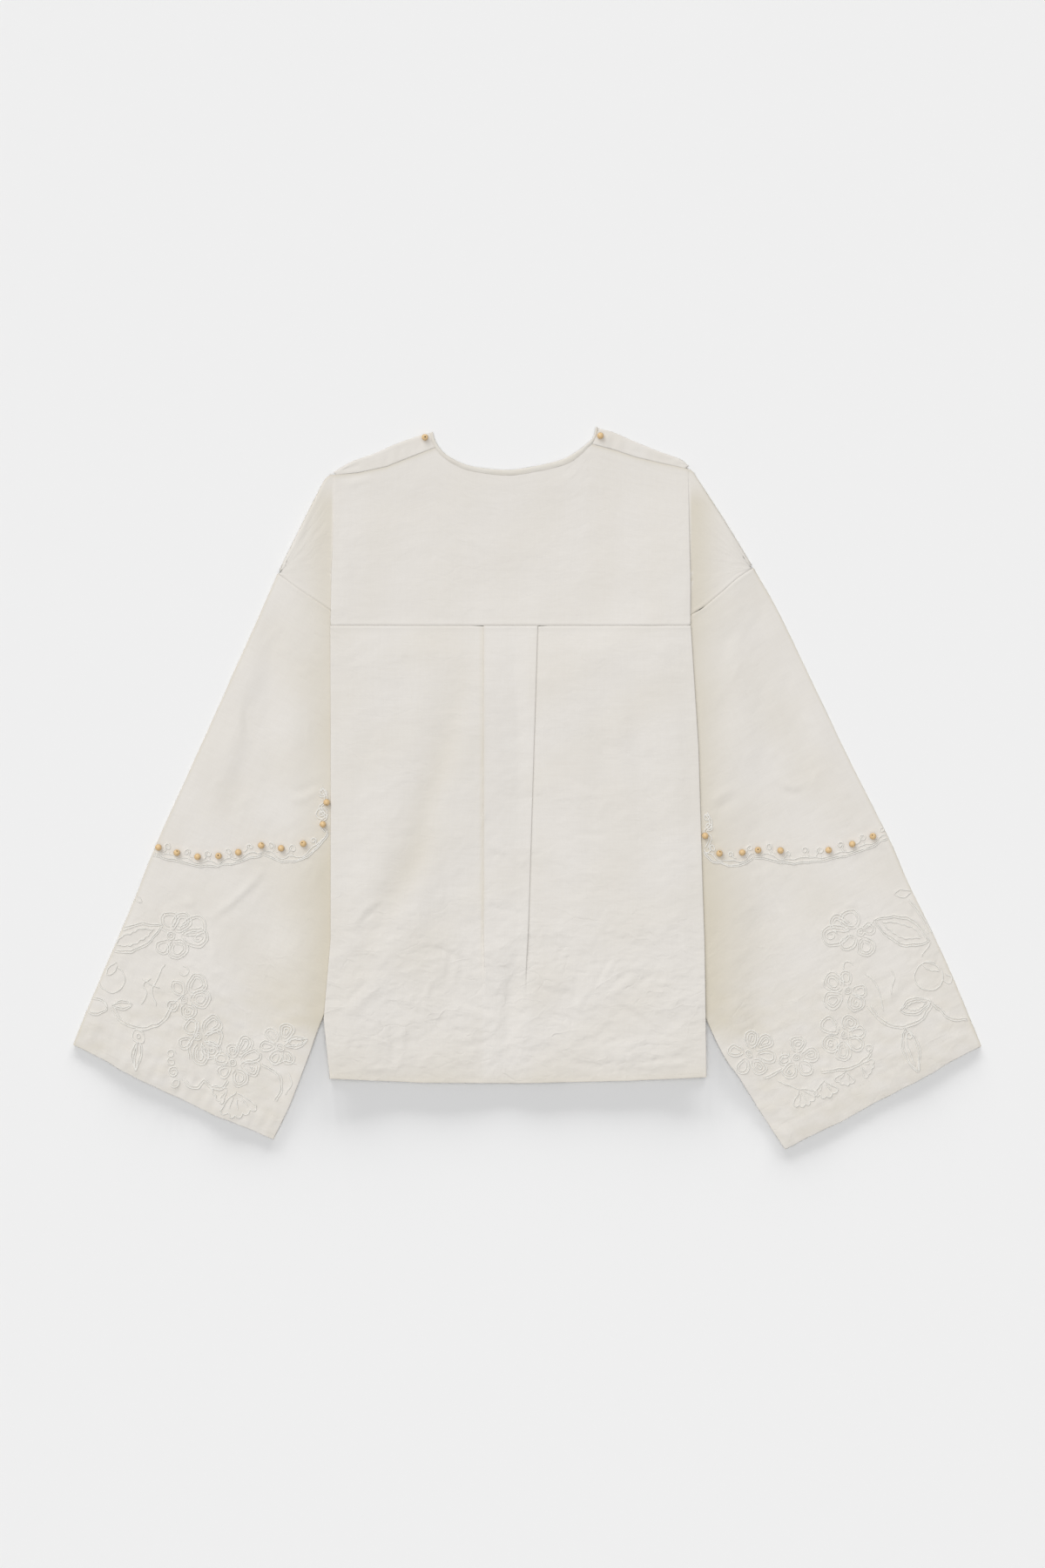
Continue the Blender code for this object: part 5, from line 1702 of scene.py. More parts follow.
LEFT_MOTIFS = (
    Leaf((-393, -107), (-385, -114), 2.2),
    Leaf((-420, -160), (-364, -137), 13, teeth=6, skew=0.3),
    *flower((-356, -147), 4, (
        ((-357, -132), 8.5, PLAIN), ((-345, -133), 8.5, ECHO), ((-330, -136), 9, PLAIN),
        ((-328, -149), 9, CURL), ((-349, -160), 9.5, ECHO), ((-364, -159), 6.5, PLAIN))),
    Stem(((-366, -139), (-361, -143), (-358, -146))),
    Curl((-415, -191), 13, 0.9, 100),
    Leaf((-420, -186), (-410, -174), 3.4),
    Leaf((-446, -216), (-418, -218), 9, skew=-0.4),
    Leaf((-414, -217), (-394, -215), 5),
    Stem(((-414, -218), (-406, -231), (-391, -238), (-375, -238), (-362, -230), (-354, -216)),
         gap=2.6),
    Stem(((-354, -216), (-347, -208), (-340, -204))),
    Stem(((-386, -216), (-380, -205), (-384, -196), (-376, -190))),
    Stem(((-361, -176), (-368, -187), (-374, -203), (-371, -218))),
    Stem(((-384, -190), (-374, -196), (-366, -199))),
    Curl((-388, -247), 6.5),
    Curl((-388, -247), 2.4, 1.2, 40, 0.5),
    Leaf((-388, -253), (-392, -282), 5, skew=0.8),
    Stem(((-389, -254), (-391, -266), (-392, -278))),
    *flower((-343, -211), 3.4, (
        ((-349, -198), 6.5, PLAIN), ((-329, -194), 9, ECHO), ((-325, -210), 8.5, ECHO),
        ((-338, -223), 7, CURL), ((-354, -217), 5, PLAIN))),
    Curl((-343, -182), 4.5, 0.7, 200),
    *flower((-329, -248), 3.6, (
        ((-335, -238), 7.5, PLAIN), ((-314, -235), 8.5, ECHO), ((-312, -249), 8, PLAIN),
        ((-315, -262), 8, CURL), ((-326, -268), 7.5, ECHO), ((-342, -254), 6, PLAIN))),
    Stem(((-328, -232), (-331, -244), (-337, -256), (-337, -270)), gap=2.4),
    Curl((-355, -265), 4.2, 1.4, 0, 0.4),
    Curl((-356, -273), 4.2, 1.2, 90, 0.5),
    Curl((-353, -283), 5.6, 1.8, 45, 0.3),
    Curl((-351, -294), 4.8, 1.3, 180, 0.5),
    Stem(((-344, -290), (-337, -297), (-329, -298), (-322, -292), (-315, -297), (-306, -299),
          (-298, -292)), gap=2.4),
    *flower((-294, -274), 3.4, (
        ((-294, -261), 6, ECHO), ((-281, -254), 7, ECHO), ((-272, -266), 6, PLAIN),
        ((-274, -279), 7, CURL), ((-286, -290), 7, ECHO), ((-303, -283), 6, PLAIN),
        ((-306, -269), 6, PLAIN))),
    *flower((-246, -258), 4, (
        ((-240, -241), 6.5, ECHO), ((-256, -245), 5.5, PLAIN), ((-262, -257), 5, CURL),
        ((-252, -270), 5.5, PLAIN), ((-238, -270), 5.5, ECHO))),
    Leaf((-242, -256), (-219, -250), 6, teeth=4),
    Stem(((-262, -268), (-252, -275), (-241, -272), (-230, -275))),
    Stem(((-266, -276), (-258, -279), (-248, -287), (-245, -300), (-252, -312)), gap=2.2),
    Stem(((-238, -284), (-236, -296), (-242, -306))),
    Fan((-291, -302), 27, -82, 95, 5),
    Fan((-300, -300), 15, -150, 100, 4),
    Curl((-205, -25), 5.6, 1),
    Curl((-205, -25), 3, 1.3, 90, 0.6),
    Curl((-204, -4), 4.6, 1.6, 200, 0.4),
    Stem(((-201, -44), (-206, -35), (-201, -29), (-207, -19), (-201, -12), (-205, 2)), gap=2.2),
)

RIGHT_MOTIFS = (
    Leaf((366, -106), (384, -103), 4),
    Stem(((381, -112), (390, -122), (397, -134), (403, -146)), gap=2.4),
    Leaf((346, -131), (402, -152), 14, teeth=6, skew=-0.3),
    Stem(((403, -153), (398, -160), (394, -168))),
    Curl((401, -187), 14.5, 0.92, 60),
    Leaf((393, -174), (413, -182), 3.6),
    Stem(((414, -191), (421, -195), (424, -188), (418, -185))),
    Leaf((372, -222), (403, -212), 8.5, teeth=5, skew=0.3),
    Stem(((404, -214), (413, -222), (423, -230), (440, -231)), gap=2.2),
    Stem(((340, -216), (351, -229), (364, -237), (379, -237), (395, -229), (403, -215)),
         gap=2.6),
    Stem(((336, -185), (345, -192), (352, -206), (356, -222))),
    Stem(((362, -180), (366, -192), (362, -206))),
    Leaf((377, -239), (390, -284), 8.5, skew=0.5),
    Curl((381, -247), 3.2, 1.3, 30, 0.5),
    Stem(((377, -241), (380, -258), (388, -278))),
    *flower((333, -143), 4, (
        ((322, -130), 9, PLAIN), ((309, -134), 7.5, ECHO), ((304, -147), 10, CURL),
        ((319, -155), 6.5, PLAIN), ((338, -158), 9, ECHO), ((341, -140), 6, PLAIN))),
    Stem(((338, -140), (342, -136), (346, -132))),
    Curl((320, -178), 5, 0.7, 20),
    *flower((320, -202), 3.2, (
        ((305, -193), 9, ECHO), ((304, -212), 8, ECHO), ((328, -214), 8, CURL),
        ((318, -188), 5.5, PLAIN), ((333, -202), 6, PLAIN))),
    *flower((316, -246), 3.4, (
        ((301, -236), 8, PLAIN), ((322, -234), 7.5, ECHO), ((303, -255), 8, CURL),
        ((315, -264), 7.5, ECHO), ((329, -255), 7, PLAIN), ((331, -243), 6, PLAIN))),
    *flower((221, -265), 3.6, (
        ((224, -248), 6.5, ECHO), ((239, -252), 6, ECHO), ((242, -268), 6, PLAIN),
        ((232, -279), 6.5, ECHO), ((215, -279), 6, PLAIN), ((206, -261), 5.5, PLAIN))),
    *flower((268, -268), 3, (
        ((270, -254), 7, ECHO), ((284, -266), 6.5, ECHO), ((279, -280), 6, PLAIN),
        ((262, -283), 6.5, CURL), ((256, -271), 5, PLAIN))),
    Curl((258, -265), 4, 0.6, 150),
    Stem(((236, -289), (246, -285), (255, -280)), gap=2.2),
    Stem(((293, -284), (305, -281), (322, -279), (336, -272), (343, -263)), gap=2.4),
    Curl((341, -259), 4.2, 1.4, 270, 0.4),
    Fan((332, -276), 14, -20, 100, 4),
    Fan((318, -282), 14, -95, 100, 4),
    Fan((296, -292), 17, -80, 100, 4),
    Fan((272, -300), 18, -60, 110, 5),
    Stem(((250, -292), (262, -297), (272, -300))),
    Curl((181, -38), 4.4, 1.5, 240, 0.4),
    Curl((180, -29), 3.6, 1.3, 60, 0.5),
    Stem(((178, -60), (183, -50), (178, -43), (184, -34), (178, -24)), gap=2.2),
)


@dataclass(frozen=True)
class ScallopBand:
    """The band across a sleeve: two cords in scallops, with small loops between beads."""

    scallops: tuple
    beads: tuple
    rise: float = 4.6
    dip: float = 1.5
    curl: float = 3.7
    lift: float = 6.4

    def inner(self, x: Array, outer: Array) -> Array:
        """Height of the inner cord: a wave that dips under every bead."""
        beads = np.sort(np.array([bead.x for bead in self.beads]))
        turn = np.interp(x, beads, np.arange(len(beads)))
        return outer + self.rise - self.dip * np.cos(2 * math.pi * turn)

    def scroll(self, x: float, foot: float, lean: float, size: float) -> Array:
        """A running scroll: it leaves the inner cord, climbs and curls in on itself.

        Args:
            x: where its middle stands.
            foot: height of the inner cord there.
            lean: 1 where it curls to the right, -1 to the left.
            size: its share of the usual size.

        Returns:
            Points by 2.
        """
        turn = np.linspace(0, 1, 34)
        angle = math.pi * (1.25 - 2.7 * turn)
        reach = self.curl * size * (1 - 0.62 * turn)
        curl = np.column_stack([reach * np.cos(angle), reach * np.sin(angle)])
        tail = np.array([[-7.6, -5.4], [-5.6, -5.2]]) * size
        whole = np.vstack([tail, curl + [0, 0.4]])
        return np.column_stack([x + lean * whole[:, 0], foot + self.lift * size + whole[:, 1]])

    def lines(self) -> list[Array]:
        """The cords of the band: two scalloped cords, and scrolls between the beads."""
        made, bases = [], []
        for scallop in self.scallops:
            line = even(scallop, 1.4)
            inner = np.column_stack([line[:, 0], self.inner(line[:, 0], line[:, 1])])
            made += [line, beside(line, 1.5), inner]
            bases.append(inner)
        base = np.vstack(bases)
        base = base[base[:, 0].argsort()]
        for k, (first, second) in enumerate(zip(self.beads[:-1], self.beads[1:])):
            gap = second.x - first.x
            count = max(1, int(round(abs(gap) / 19)))
            for i in range(count):
                x = first.x + gap * (i + 0.5) / count
                foot = float(np.interp(x, base[:, 0], base[:, 1]))
                size = (1, 0.86, 0.94)[(i + k) % 3] * min(1, abs(gap) / count / 15)
                made.append(self.scroll(x, foot, (1, -1)[(i + k) % 2], size))
                made.append(ring((x, foot + 1.6), 1.5 * size, 0.7, 200, 0.6))
        return made


LEFT_BEADS = table(Point, (-368, -58.9), (-349.6, -64.2), (-328.9, -68.2), (-308, -67.5),
                   (-288.3, -63.8), (-265.4, -56.9), (-245.5, -59.8), (-223.4, -55.2),
                   (-203.8, -35.9), (-200, -14))
RIGHT_BEADS = table(Point, (177.4, -47.3), (191.7, -64.9), (214.5, -63.9), (230.3, -61.6),
                    (252.7, -62), (300.7, -61.6), (324.3, -55.6), (344.9, -47.8))

BANDS = {
    "left": ScallopBand(
        scallops=(((-375, -67), (-347.5, -73.5), (-330.2, -77.4), (-318.2, -78.2),
                   (-294.4, -75.5), (-274.4, -69.5), (-263.6, -66.5)),
                  ((-263.6, -66.5), (-254.4, -70.2), (-241, -73.5), (-227.7, -72.2),
                   (-214.4, -64.8), (-203.8, -53.5), (-198.6, -44.2))),
        beads=LEFT_BEADS[:9]),
    "right": ScallopBand(
        scallops=(((175.8, -63), (179, -68), (190.5, -75.1), (205.6, -77.3),
                   (216, -76.2), (226.5, -69.1)),
                  ((226.5, -69.1), (244.5, -72), (261, -75.1), (288, -73.5),
                   (317.9, -67.6), (340.4, -60), (360, -50.4))),
        beads=RIGHT_BEADS + table(Point, (362, -42))),
}
MOTIFS = {"left": LEFT_MOTIFS, "right": RIGHT_MOTIFS}
SLEEVE_CREASES = {
    "left": crease_table(
        (12, -1, 0.3, (-251, 194), (-258, 122), (-283, 28), (-305, -37)),
        (11, 0.9, 0, (-268, 160), (-282, 90), (-306, 0), (-322, -50)),
        (4, -0.8, 0.5, (-276, 92), (-282, 72), (-279, 50)),
        (4, 1.1, 0.5, (-262, -79), (-287, -106), (-318, -130)),
        (5, -0.7, 0, (-256, -84), (-280, -110), (-306, -132)),
        (6, 0.9, 0, (-300, -205), (-298, -222), (-289, -243)),
        (22, -1.2, 0, (-300, -100), (-266, -152), (-256, -205)),
        (4.5, 0.9, 0.4, (-210, 0), (-222, -8), (-238, -12)),
        (4.5, -0.6, 0, (-207, 5), (-221, -1), (-238, -4)),
        (14, 0.8, 0, (-226, 120), (-234, 60), (-236, -10)),
        (12, -0.6, 0, (-330, -20), (-350, -60), (-364, -120)),
        (6, -0.7, 0.3, (-340, -95), (-352, -110), (-372, -118)),
        (6, 0.6, 0, (-420, -235), (-434, -240), (-444, -252)),
        (6, -0.9, 0.4, (-228, -262), (-244, -300), (-252, -335)),
        (5, 0.8, 0, (-240, -300), (-250, -320), (-262, -338)),
        (4, 0.7, 0.4, (-276, -320), (-280, -334), (-284, -344)),
        (4, -0.7, 0, (-300, -298), (-302, -312), (-308, -326)),
        (11, 0.7, 0, (-212, -160), (-222, -200), (-228, -240)),
    ),
    "right": crease_table(
        (10, -0.7, 0, (187, 110), (197, 140), (206, 166)),
        (14, 0.8, 0, (205, 150), (222, 60), (226, -20)),
        (14, -0.9, 0.3, (246, 150), (268, 60), (276, -30)),
        (12, 0.7, 0, (280, 96), (300, 30), (320, -20)),
        (4.5, 0.9, 0.4, (182, -17), (193, -8), (206, 0)),
        (4.5, -0.7, 0, (186, -24), (198, -16), (211, -8)),
        (4, -0.7, 0.4, (243, 7), (256, -3), (268, -6), (278, 0)),
        (4, 0.5, 0, (244, 14), (258, 4), (270, 1), (280, 7)),
        (4, -0.8, 0.4, (228, -73), (240, -98), (258, -126)),
        (4.5, 0.7, 0, (234, -74), (248, -100), (268, -124)),
        (20, -1.1, 0, (222, -120), (250, -160), (266, -215)),
        (11, 0.8, 0, (196, -180), (206, -220), (222, -256)),
        (3.6, 0.9, 0.4, (214, -292), (224, -298), (236, -300)),
        (3.6, -0.9, 0.4, (222, -305), (232, -310), (244, -311)),
        (3.6, 0.9, 0.4, (228, -316), (240, -322), (252, -322)),
        (3.6, -0.9, 0.4, (236, -328), (247, -334), (260, -335)),
        (3.6, 0.8, 0.4, (244, -340), (254, -346), (266, -346)),
        (9, -0.6, 0, (404, -130), (414, -160), (430, -190)),
        (12, -0.5, 0, (300, -60), (330, -80), (352, -110)),
        (4, -0.6, 0, (366, -216), (372, -206), (384, -200)),
        (6, 0.6, 0, (420, -246), (436, -250), (446, -262)),
    ),
}
STREWN_ON_SLEEVE = {
    "left": (Scatter((-440, -290), (-300, -110), 60, 13, 2.8, 0.42, 60, 90, 71),
             Scatter((-360, -330), (-225, -230), 50, 13, 2.8, 0.42, 30, 90, 72),
             Scatter((-330, -90), (-200, 170), 26, 24, 3.4, 0.28, 70, 50, 73)),
    "right": (Scatter((300, -290), (440, -110), 60, 13, 2.8, 0.42, 120, 90, 74),
              Scatter((205, -340), (340, -230), 50, 13, 2.8, 0.42, 60, 90, 75),
              Scatter((185, -90), (330, 170), 26, 24, 3.4, 0.28, 110, 50, 76)),
}


@dataclass
class Sleeve(ClothPiece):
    """A straight tube laid flat, its upper end under the side fold of the body."""

    sheet: ClassVar[dict] = {"flat": (0.444, 0.53), "held": "laid", "area": 0.225,
                             "rests_on": ["front_panel_cloth"]}
    closed: ClassVar[bool] = True
    side: Side
    step: float = 2.1
    columns: int = 104
    under_columns: int = 20
    rim_steps: int = 7
    hem_depth: float = 22.5
    cord_lift: float = 0.36
    cord_width: float = 1.35
    cord_height: float = 1.05
    cord_sides: int = 6
    pull: float = 0.36
    pull_reach: float = 8
    cords: list = field(default_factory=list)

    def __post_init__(self) -> None:
        """Lays out the embroidery, whose pull shapes the cloth."""
        lines = [line for motif in MOTIFS[self.side.name] for line in motif.lines()]
        lines += BANDS[self.side.name].lines()
        self.cords = [part for line in lines
                      for part in self.kept(self.handmade(even(line, 1.3)))]

    def handmade(self, line: Array) -> Array:
        """Bends a drawn line a little, as a hand lays it: neighbours bend alike."""
        x, y = line.T
        shift = [0.65 * ripple(x, y, 15, seed) + 0.2 * ripple(x, y, 6, seed + 1)
                 for seed in (91, 93)]
        return line + np.column_stack(shift)

    def kept(self, line: Array) -> list[Array]:
        """Cuts a cord where it would leave the sleeve's outer edge or go under the body.

        Args:
            line: points by 2.

        Returns:
            The stretches that stay on the sleeve.
        """
        out = (line[:, 0] - self.side.arm_x(line[:, 1])) * self.side.sign < -1
        out &= (line[:, 0] - self.side.fold_x(line[:, 1])) * self.side.sign > 1.2
        marks = np.flatnonzero(np.diff(np.concatenate([[0], out.astype(int), [0]])))
        return [line[a:b] for a, b in zip(marks[::2], marks[1::2]) if b - a > 4]

    def swell(self, x: Array, y: Array) -> Array:
        """Broad lift of the upper wall: two soft humps across the free part."""
        across = 1 - self.side.off_inner_edge(x, y) / SLEEVE_WIDTH
        rows = self.side.measured(self.side.along, x, y) / SLEEVE_LENGTH
        free = smooth(65, 125, self.side.outside(x))
        hump = np.sin(math.pi * np.clip(across, 0, 1)) * np.sin(5 * across + 3.5 * rows) ** 2
        return 1.5 * free * hump

    def off_cuff(self, x: Array, y: Array) -> Array:
        """Distance up from the cuff's edge."""
        corner = np.array(self.side.arm_edge[-1])
        chord = np.array(self.side.cuff_inner) - corner
        share = np.clip(((x - corner[0]) * chord[0] + (y - corner[1]) * chord[1])
                        / (chord @ chord), 0, 1)
        end = self.side.cuff_bulge * np.sin(math.pi * share)
        down = (x - corner[0] - share * chord[0]) * self.side.along[0]
        down = down + (y - corner[1] - share * chord[1]) * self.side.along[1]
        return end - down

    def pucker(self, x: Array, y: Array) -> Array:
        """Small bumps that the cords pull up in the cloth around them.

        Args:
            x: places across.
            y: places up.

        Returns:
            Unevenness times a bell of the distance to the nearest cord.
        """
        spots = np.vstack(self.cords)[::2].astype(np.float32)
        near = (y < 10) & (self.side.outside(x) > 0)
        places = np.stack([x[near], y[near]], axis=1).astype(np.float32)
        nearest = np.concatenate([
            np.sqrt(((part[:, None] - spots[None]) ** 2).sum(axis=2).min(axis=1))
            for part in np.array_split(places, max(1, len(places) // 600))])
        lift = np.zeros_like(x)
        rough = 0.6 * ripple(x, y, 11, 81) + 0.5 * ripple(x, y, 7, 82)
        lift[near] = self.pull * rough[near] * np.exp(-(nearest / self.pull_reach) ** 2)
        return lift

    def relief(self, x: Array, y: Array) -> Array:
        """Lift of the creases, the cuff's hem and the cords' pull."""
        small = [c for patch in STREWN_ON_SLEEVE[self.side.name] for c in patch.creases()]
        lift = creased(SLEEVE_CREASES[self.side.name], x, y) + creased(small, x, y)
        lift = lift + 0.3 * ripple(x, y, 60, 83) + 0.07 * ripple(x, y, 14, 84)
        off = self.off_cuff(x, y)
        band = 1 - smooth(self.hem_depth - 0.8, self.hem_depth + 0.8, off)
        groove = np.exp(-((off - self.hem_depth) / 1.4) ** 2)
        across = self.side.off_inner_edge(x, y)
        folds = ripple(across, 0.15 * off, 12, 85) * np.exp(-((off - 12) / 16) ** 2)
        lift = lift + 0.25 * band - 0.35 * groove + 0.45 * folds + self.pucker(x, y)
        return np.clip(lift, -0.9, 2.2) * smooth(-4, 22, self.side.outside(x))

    def top(self, x: Array, y: Array) -> Array:
        """Height of the upper face."""
        return self.upper(x, y) + HALF

    def upper(self, x: Array, y: Array) -> Array:
        """Middle of the upper wall: it settles on the lower one towards the cuff's edge."""
        settled = 0.85 * np.exp(-np.maximum(self.off_cuff(x, y), 0) / 7)
        across = self.side.off_inner_edge(x, y)
        edge = np.maximum(np.minimum(across, SLEEVE_WIDTH - across), 0)
        settled = np.maximum(settled, 0.8 * np.exp(-edge / 6))
        hollow = SLEEVE_HOLLOW * (1 - 0.55 * settled)
        raised = (self.swell(x, y) + self.relief(x, y)) * (1 - 0.6 * settled)
        return self.side.sleeve_floor(x) + hollow + raised

    def plan(self, across: Array) -> tuple[Array, Array, Array]:
        """Places of a wall's points on the table.

        Args:
            across: shares of the way from the outer edge to the inner one.

        Returns:
            Rows by columns by 2, the unit vector across each row, and row shares.
        """
        side = self.side
        rows = stations(SLEEVE_OUTER_LENGTH, self.step, (0, 0.4, 1, 1.8, 3, 4.6), (0, 0.5, 1.5, 3))
        outer = curve((side.shoulder,) + side.arm_edge, rows)
        inner = curve((side.underarm,) + side.inner_edge, rows)
        top = side.seam_curve(across) - CLOSE_SEAM * side.up
        chord = outer[0] + np.outer(across, inner[0] - outer[0])
        width = np.hypot(*(inner - outer).T)
        inset = (HALF + SLEEVE_HOLLOW / 2) / width
        shares = inset[:, None] + (1 - 2 * inset)[:, None] * across[None, :]
        flat = outer[:, None, :] + (inner - outer)[:, None, :] * shares[:, :, None]
        flat = flat + (1 - smooth(0, 0.25, rows))[:, None, None] * (top - chord)[None]
        bulge = side.cuff_bulge * np.sin(math.pi * across) + 0.5 * ripple(
            SLEEVE_WIDTH * across, 0 * across, 26, 86)
        flat = flat + (smooth(0.85, 1, rows)[:, None] * bulge[None, :])[:, :, None] * side.along
        return flat, (inner - outer) / width[:, None], rows

    def points(self) -> Array:
        """The closed grid round the tube: upper wall, inner rim, lower wall, outer rim.

        Returns:
            Rows by columns by 3, in millimetres.
        """
        upper, unit, _ = self.plan(np.linspace(0, 1, self.columns))
        lower, _, _ = self.plan(np.linspace(0, 1, self.under_columns))
        x, y = upper[:, :, 0], upper[:, :, 1]
        high = self.upper(x, y)
        high = high + welt((self.side.seam_y(x) - y) * self.side.up[1])
        below = self.side.sleeve_floor(lower[:, :, 0])
        below = below - 0.1 + np.clip(0.3 * ripple(lower[:, :, 0], lower[:, :, 1], 50, 87),
                                      0, 0.4)
        turn = np.linspace(0, math.pi, self.rim_steps + 2)[1:-1]

        def rim(column: int, way: float) -> Array:
            """Half an ellipse from the lower wall up to the upper one, at one edge."""
            centre = upper[:, column]
            middle = (below[:, column] + high[:, column]) / 2
            reach = (high[:, column] - below[:, column]) / 2
            out = np.minimum(reach, SLEEVE_HOLLOW / 2) * way
            parts = [np.column_stack([centre + unit * (out * math.sin(a))[:, None],
                                      middle - reach * math.cos(a)]) for a in turn]
            return np.stack(parts, axis=1)

        top = np.dstack([upper, high])
        bottom = np.dstack([lower, below])[:, ::-1]
        return np.concatenate([top, rim(-1, 1)[:, ::-1], bottom, rim(0, -1)], axis=1)

    def tone_and_shade(self, x: Array, y: Array) -> Array:
        """Painted shade beside the body's fold, deeper where light hardly reaches, and along the
        outer rim, over soft patches of tone that grow warmer near the cuff.
        """
        outside = (x - self.side.fold_x(y)) * self.side.sign
        shade = 0.08 + 0.09 * ripple(x, y, 75, 88)
        low = 1 - smooth(-90, -20, y)
        reach = 24 + 14 * low
        # Painted shade on the sleeve beside the body's fold
        beside = np.exp(-(np.maximum(outside, 0) / reach) ** 1.4) * smooth(-262, -225, y)
        # Painted shade along the outer rim, darkening its lit edge
        rim = np.exp(-((x - self.side.arm_x(y)) / 1.8) ** 2)
        cuff = 1 - smooth(-235, -165, y)
        shade = shade + cuff * (0.1 + 0.1 * ripple(x, y, 22, 87))
        shade = shade + (0.6 + 0.35 * low) * beside + 0.7 * rim
        return np.clip(shade, 0, 1)

    def worn(self, x: Array, y: Array) -> Array:
        """Fine wrinkles: most in the embroidered part, near the cuff."""
        low = 1 - smooth(-190, -70, y)
        return 0.2 + 0.3 * low + 0.12 * ripple(x, y, 60, 89)

    @property
    def node(self) -> str:
        """The name of its solid."""
        return f"sleeve_{self.side.name}"

    def build(self, finishes: Finishes) -> Object:
        """Makes the sleeve, then lays its embroidery on it."""
        piece = super().build(finishes)
        laid = [np.column_stack([line, self.top(*line.T) + self.cord_lift])
                for line in self.cords]
        trim = f"embroidery_{self.side.name}"
        mesh = cords_mesh(trim, laid, self.cord_width, self.cord_height, self.cord_sides)
        cords = show(trim, mesh, finishes.cord)
        return piece


@dataclass
class Bead:
    """A turned wooden bead with a hole, sewn down on the cloth."""

    node: str
    tilt: float
    turn: float
    radius: float = 3.3
    bore: float = 0.75

    def build(self, ground: Callable[[Array, Array], Array], wood: Material,
              ) -> Object:
        """Makes the bead where its solid is, resting on the cloth.

        An arc from one mouth of the bore to the other and the bore's wall back,
        turned round the hole's axis.

        Args:
            ground: height of the cloth's upper face at x and y.
            wood: the bead's material.

        Returns:
            The finished bead.
        """
        low, high = (np.array(corner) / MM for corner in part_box(self.node))
        centre = (low + high) / 2
        mouth = math.asin(self.bore / self.radius)
        arc = np.linspace(mouth, math.pi - mouth, 17)
        rim = np.column_stack([np.sin(arc), np.cos(arc)]) * self.radius
        inner = np.column_stack([np.full(5, self.bore), np.linspace(rim[-1, 1], rim[0, 1], 5)])
        profile = np.vstack([rim, inner[1:-1]])
        around = np.linspace(0, 2 * math.pi, 24, endpoint=False)
        points = np.stack([np.outer(profile[:, 0], np.cos(around)),
                           np.outer(profile[:, 0], np.sin(around)),
                           np.tile(profile[:, 1:], (1, 24))], axis=-1)
        tilt, turn = math.radians(self.tilt), math.radians(self.turn)
        lean = np.array([[math.cos(tilt), 0, math.sin(tilt)], [0, 1, 0],
                         [-math.sin(tilt), 0, math.cos(tilt)]])
        swing = np.array([[math.cos(turn), -math.sin(turn), 0],
                          [math.sin(turn), math.cos(turn), 0], [0, 0, 1]])
        points = points @ (swing @ lean).T
        place = np.array([centre[0]]), np.array([centre[1]])
        centre[2] = float(ground(*place)[0]) + 0.97 * self.radius
        grid = np.concatenate([points + centre, (points + centre)[:1]], axis=0)
        name = f"{self.node}_wood"
        mesh = grid_mesh(name, [grid], closed=True)
        # The bore's wall is marked for painted shade
        shaded_bore = np.zeros(grid.shape[:2])
        shaded_bore[len(rim):-1] = 1
        layer = mesh.attributes.new(TONE_AND_SHADE, "FLOAT", "POINT")
        layer.data.foreach_set("value", shaded_bore.ravel())
        merge_points(mesh, 0.01)
        piece = show(name, mesh, wood)
        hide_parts(self.node)
        return piece


@dataclass
class Stitching:
    """Rows of short stitches along seams and hems, all in one mesh."""

    pitch: float = 3
    length: float = 2.1
    width: float = 0.5
    height: float = 0.4
    sides: int = 5
    lines: list = field(default_factory=list)

    def add(self, path: Array, top: Callable[[Array, Array], Array]) -> None:
        """Lays a row of stitches along a path.

        Args:
            path: points by 2.
            top: height of the cloth's upper face.
        """
        whole = float(lengths(path)[-1])
        count = int(whole / self.pitch)
        starts = (np.arange(count) + 0.5) / count
        steps = np.linspace(-0.5, 0.5, 5) * self.length / whole
        shares = np.clip(starts[:, None] + steps[None, :], 0, 1)
        spots = curve(path, shares.ravel())
        height = top(spots[:, 0], spots[:, 1]).reshape(count, 5)
        height = height + np.array([-0.15, 0.02, 0.08, 0.02, -0.15])
        rows = np.dstack([spots.reshape(count, 5, 2), height])
        self.lines += list(rows)

    def build(self, finishes: Finishes) -> Object:
        """Makes the stitches as one piece of thin threads.

        Args:
            finishes: the blouse's materials.

        Returns:
            The finished piece.
        """
        mesh = cords_mesh("stitching", self.lines, self.width, self.height, self.sides)
        piece = show("stitching", mesh, finishes.thread)
        return piece


@dataclass(frozen=True)
class Lamp:
    """A broad far light: its share of the light on a level face, height and width."""

    name: str
    share: float
    height: float
    turn: float
    width: float

    def build(self) -> Object:
        """Makes the lamp, as strong as its share needs at its height."""
        light = bpy.data.lights.new(self.name, "SUN")
        light.energy = self.share * math.pi / math.sin(math.radians(self.height))
        light.angle = math.radians(self.width)
        lamp = bpy.data.objects.new(self.name, light)
        lamp.rotation_euler = (math.radians(self.height - 90), 0, math.radians(self.turn))
        bpy.context.scene.collection.objects.link(lamp)
        return lamp


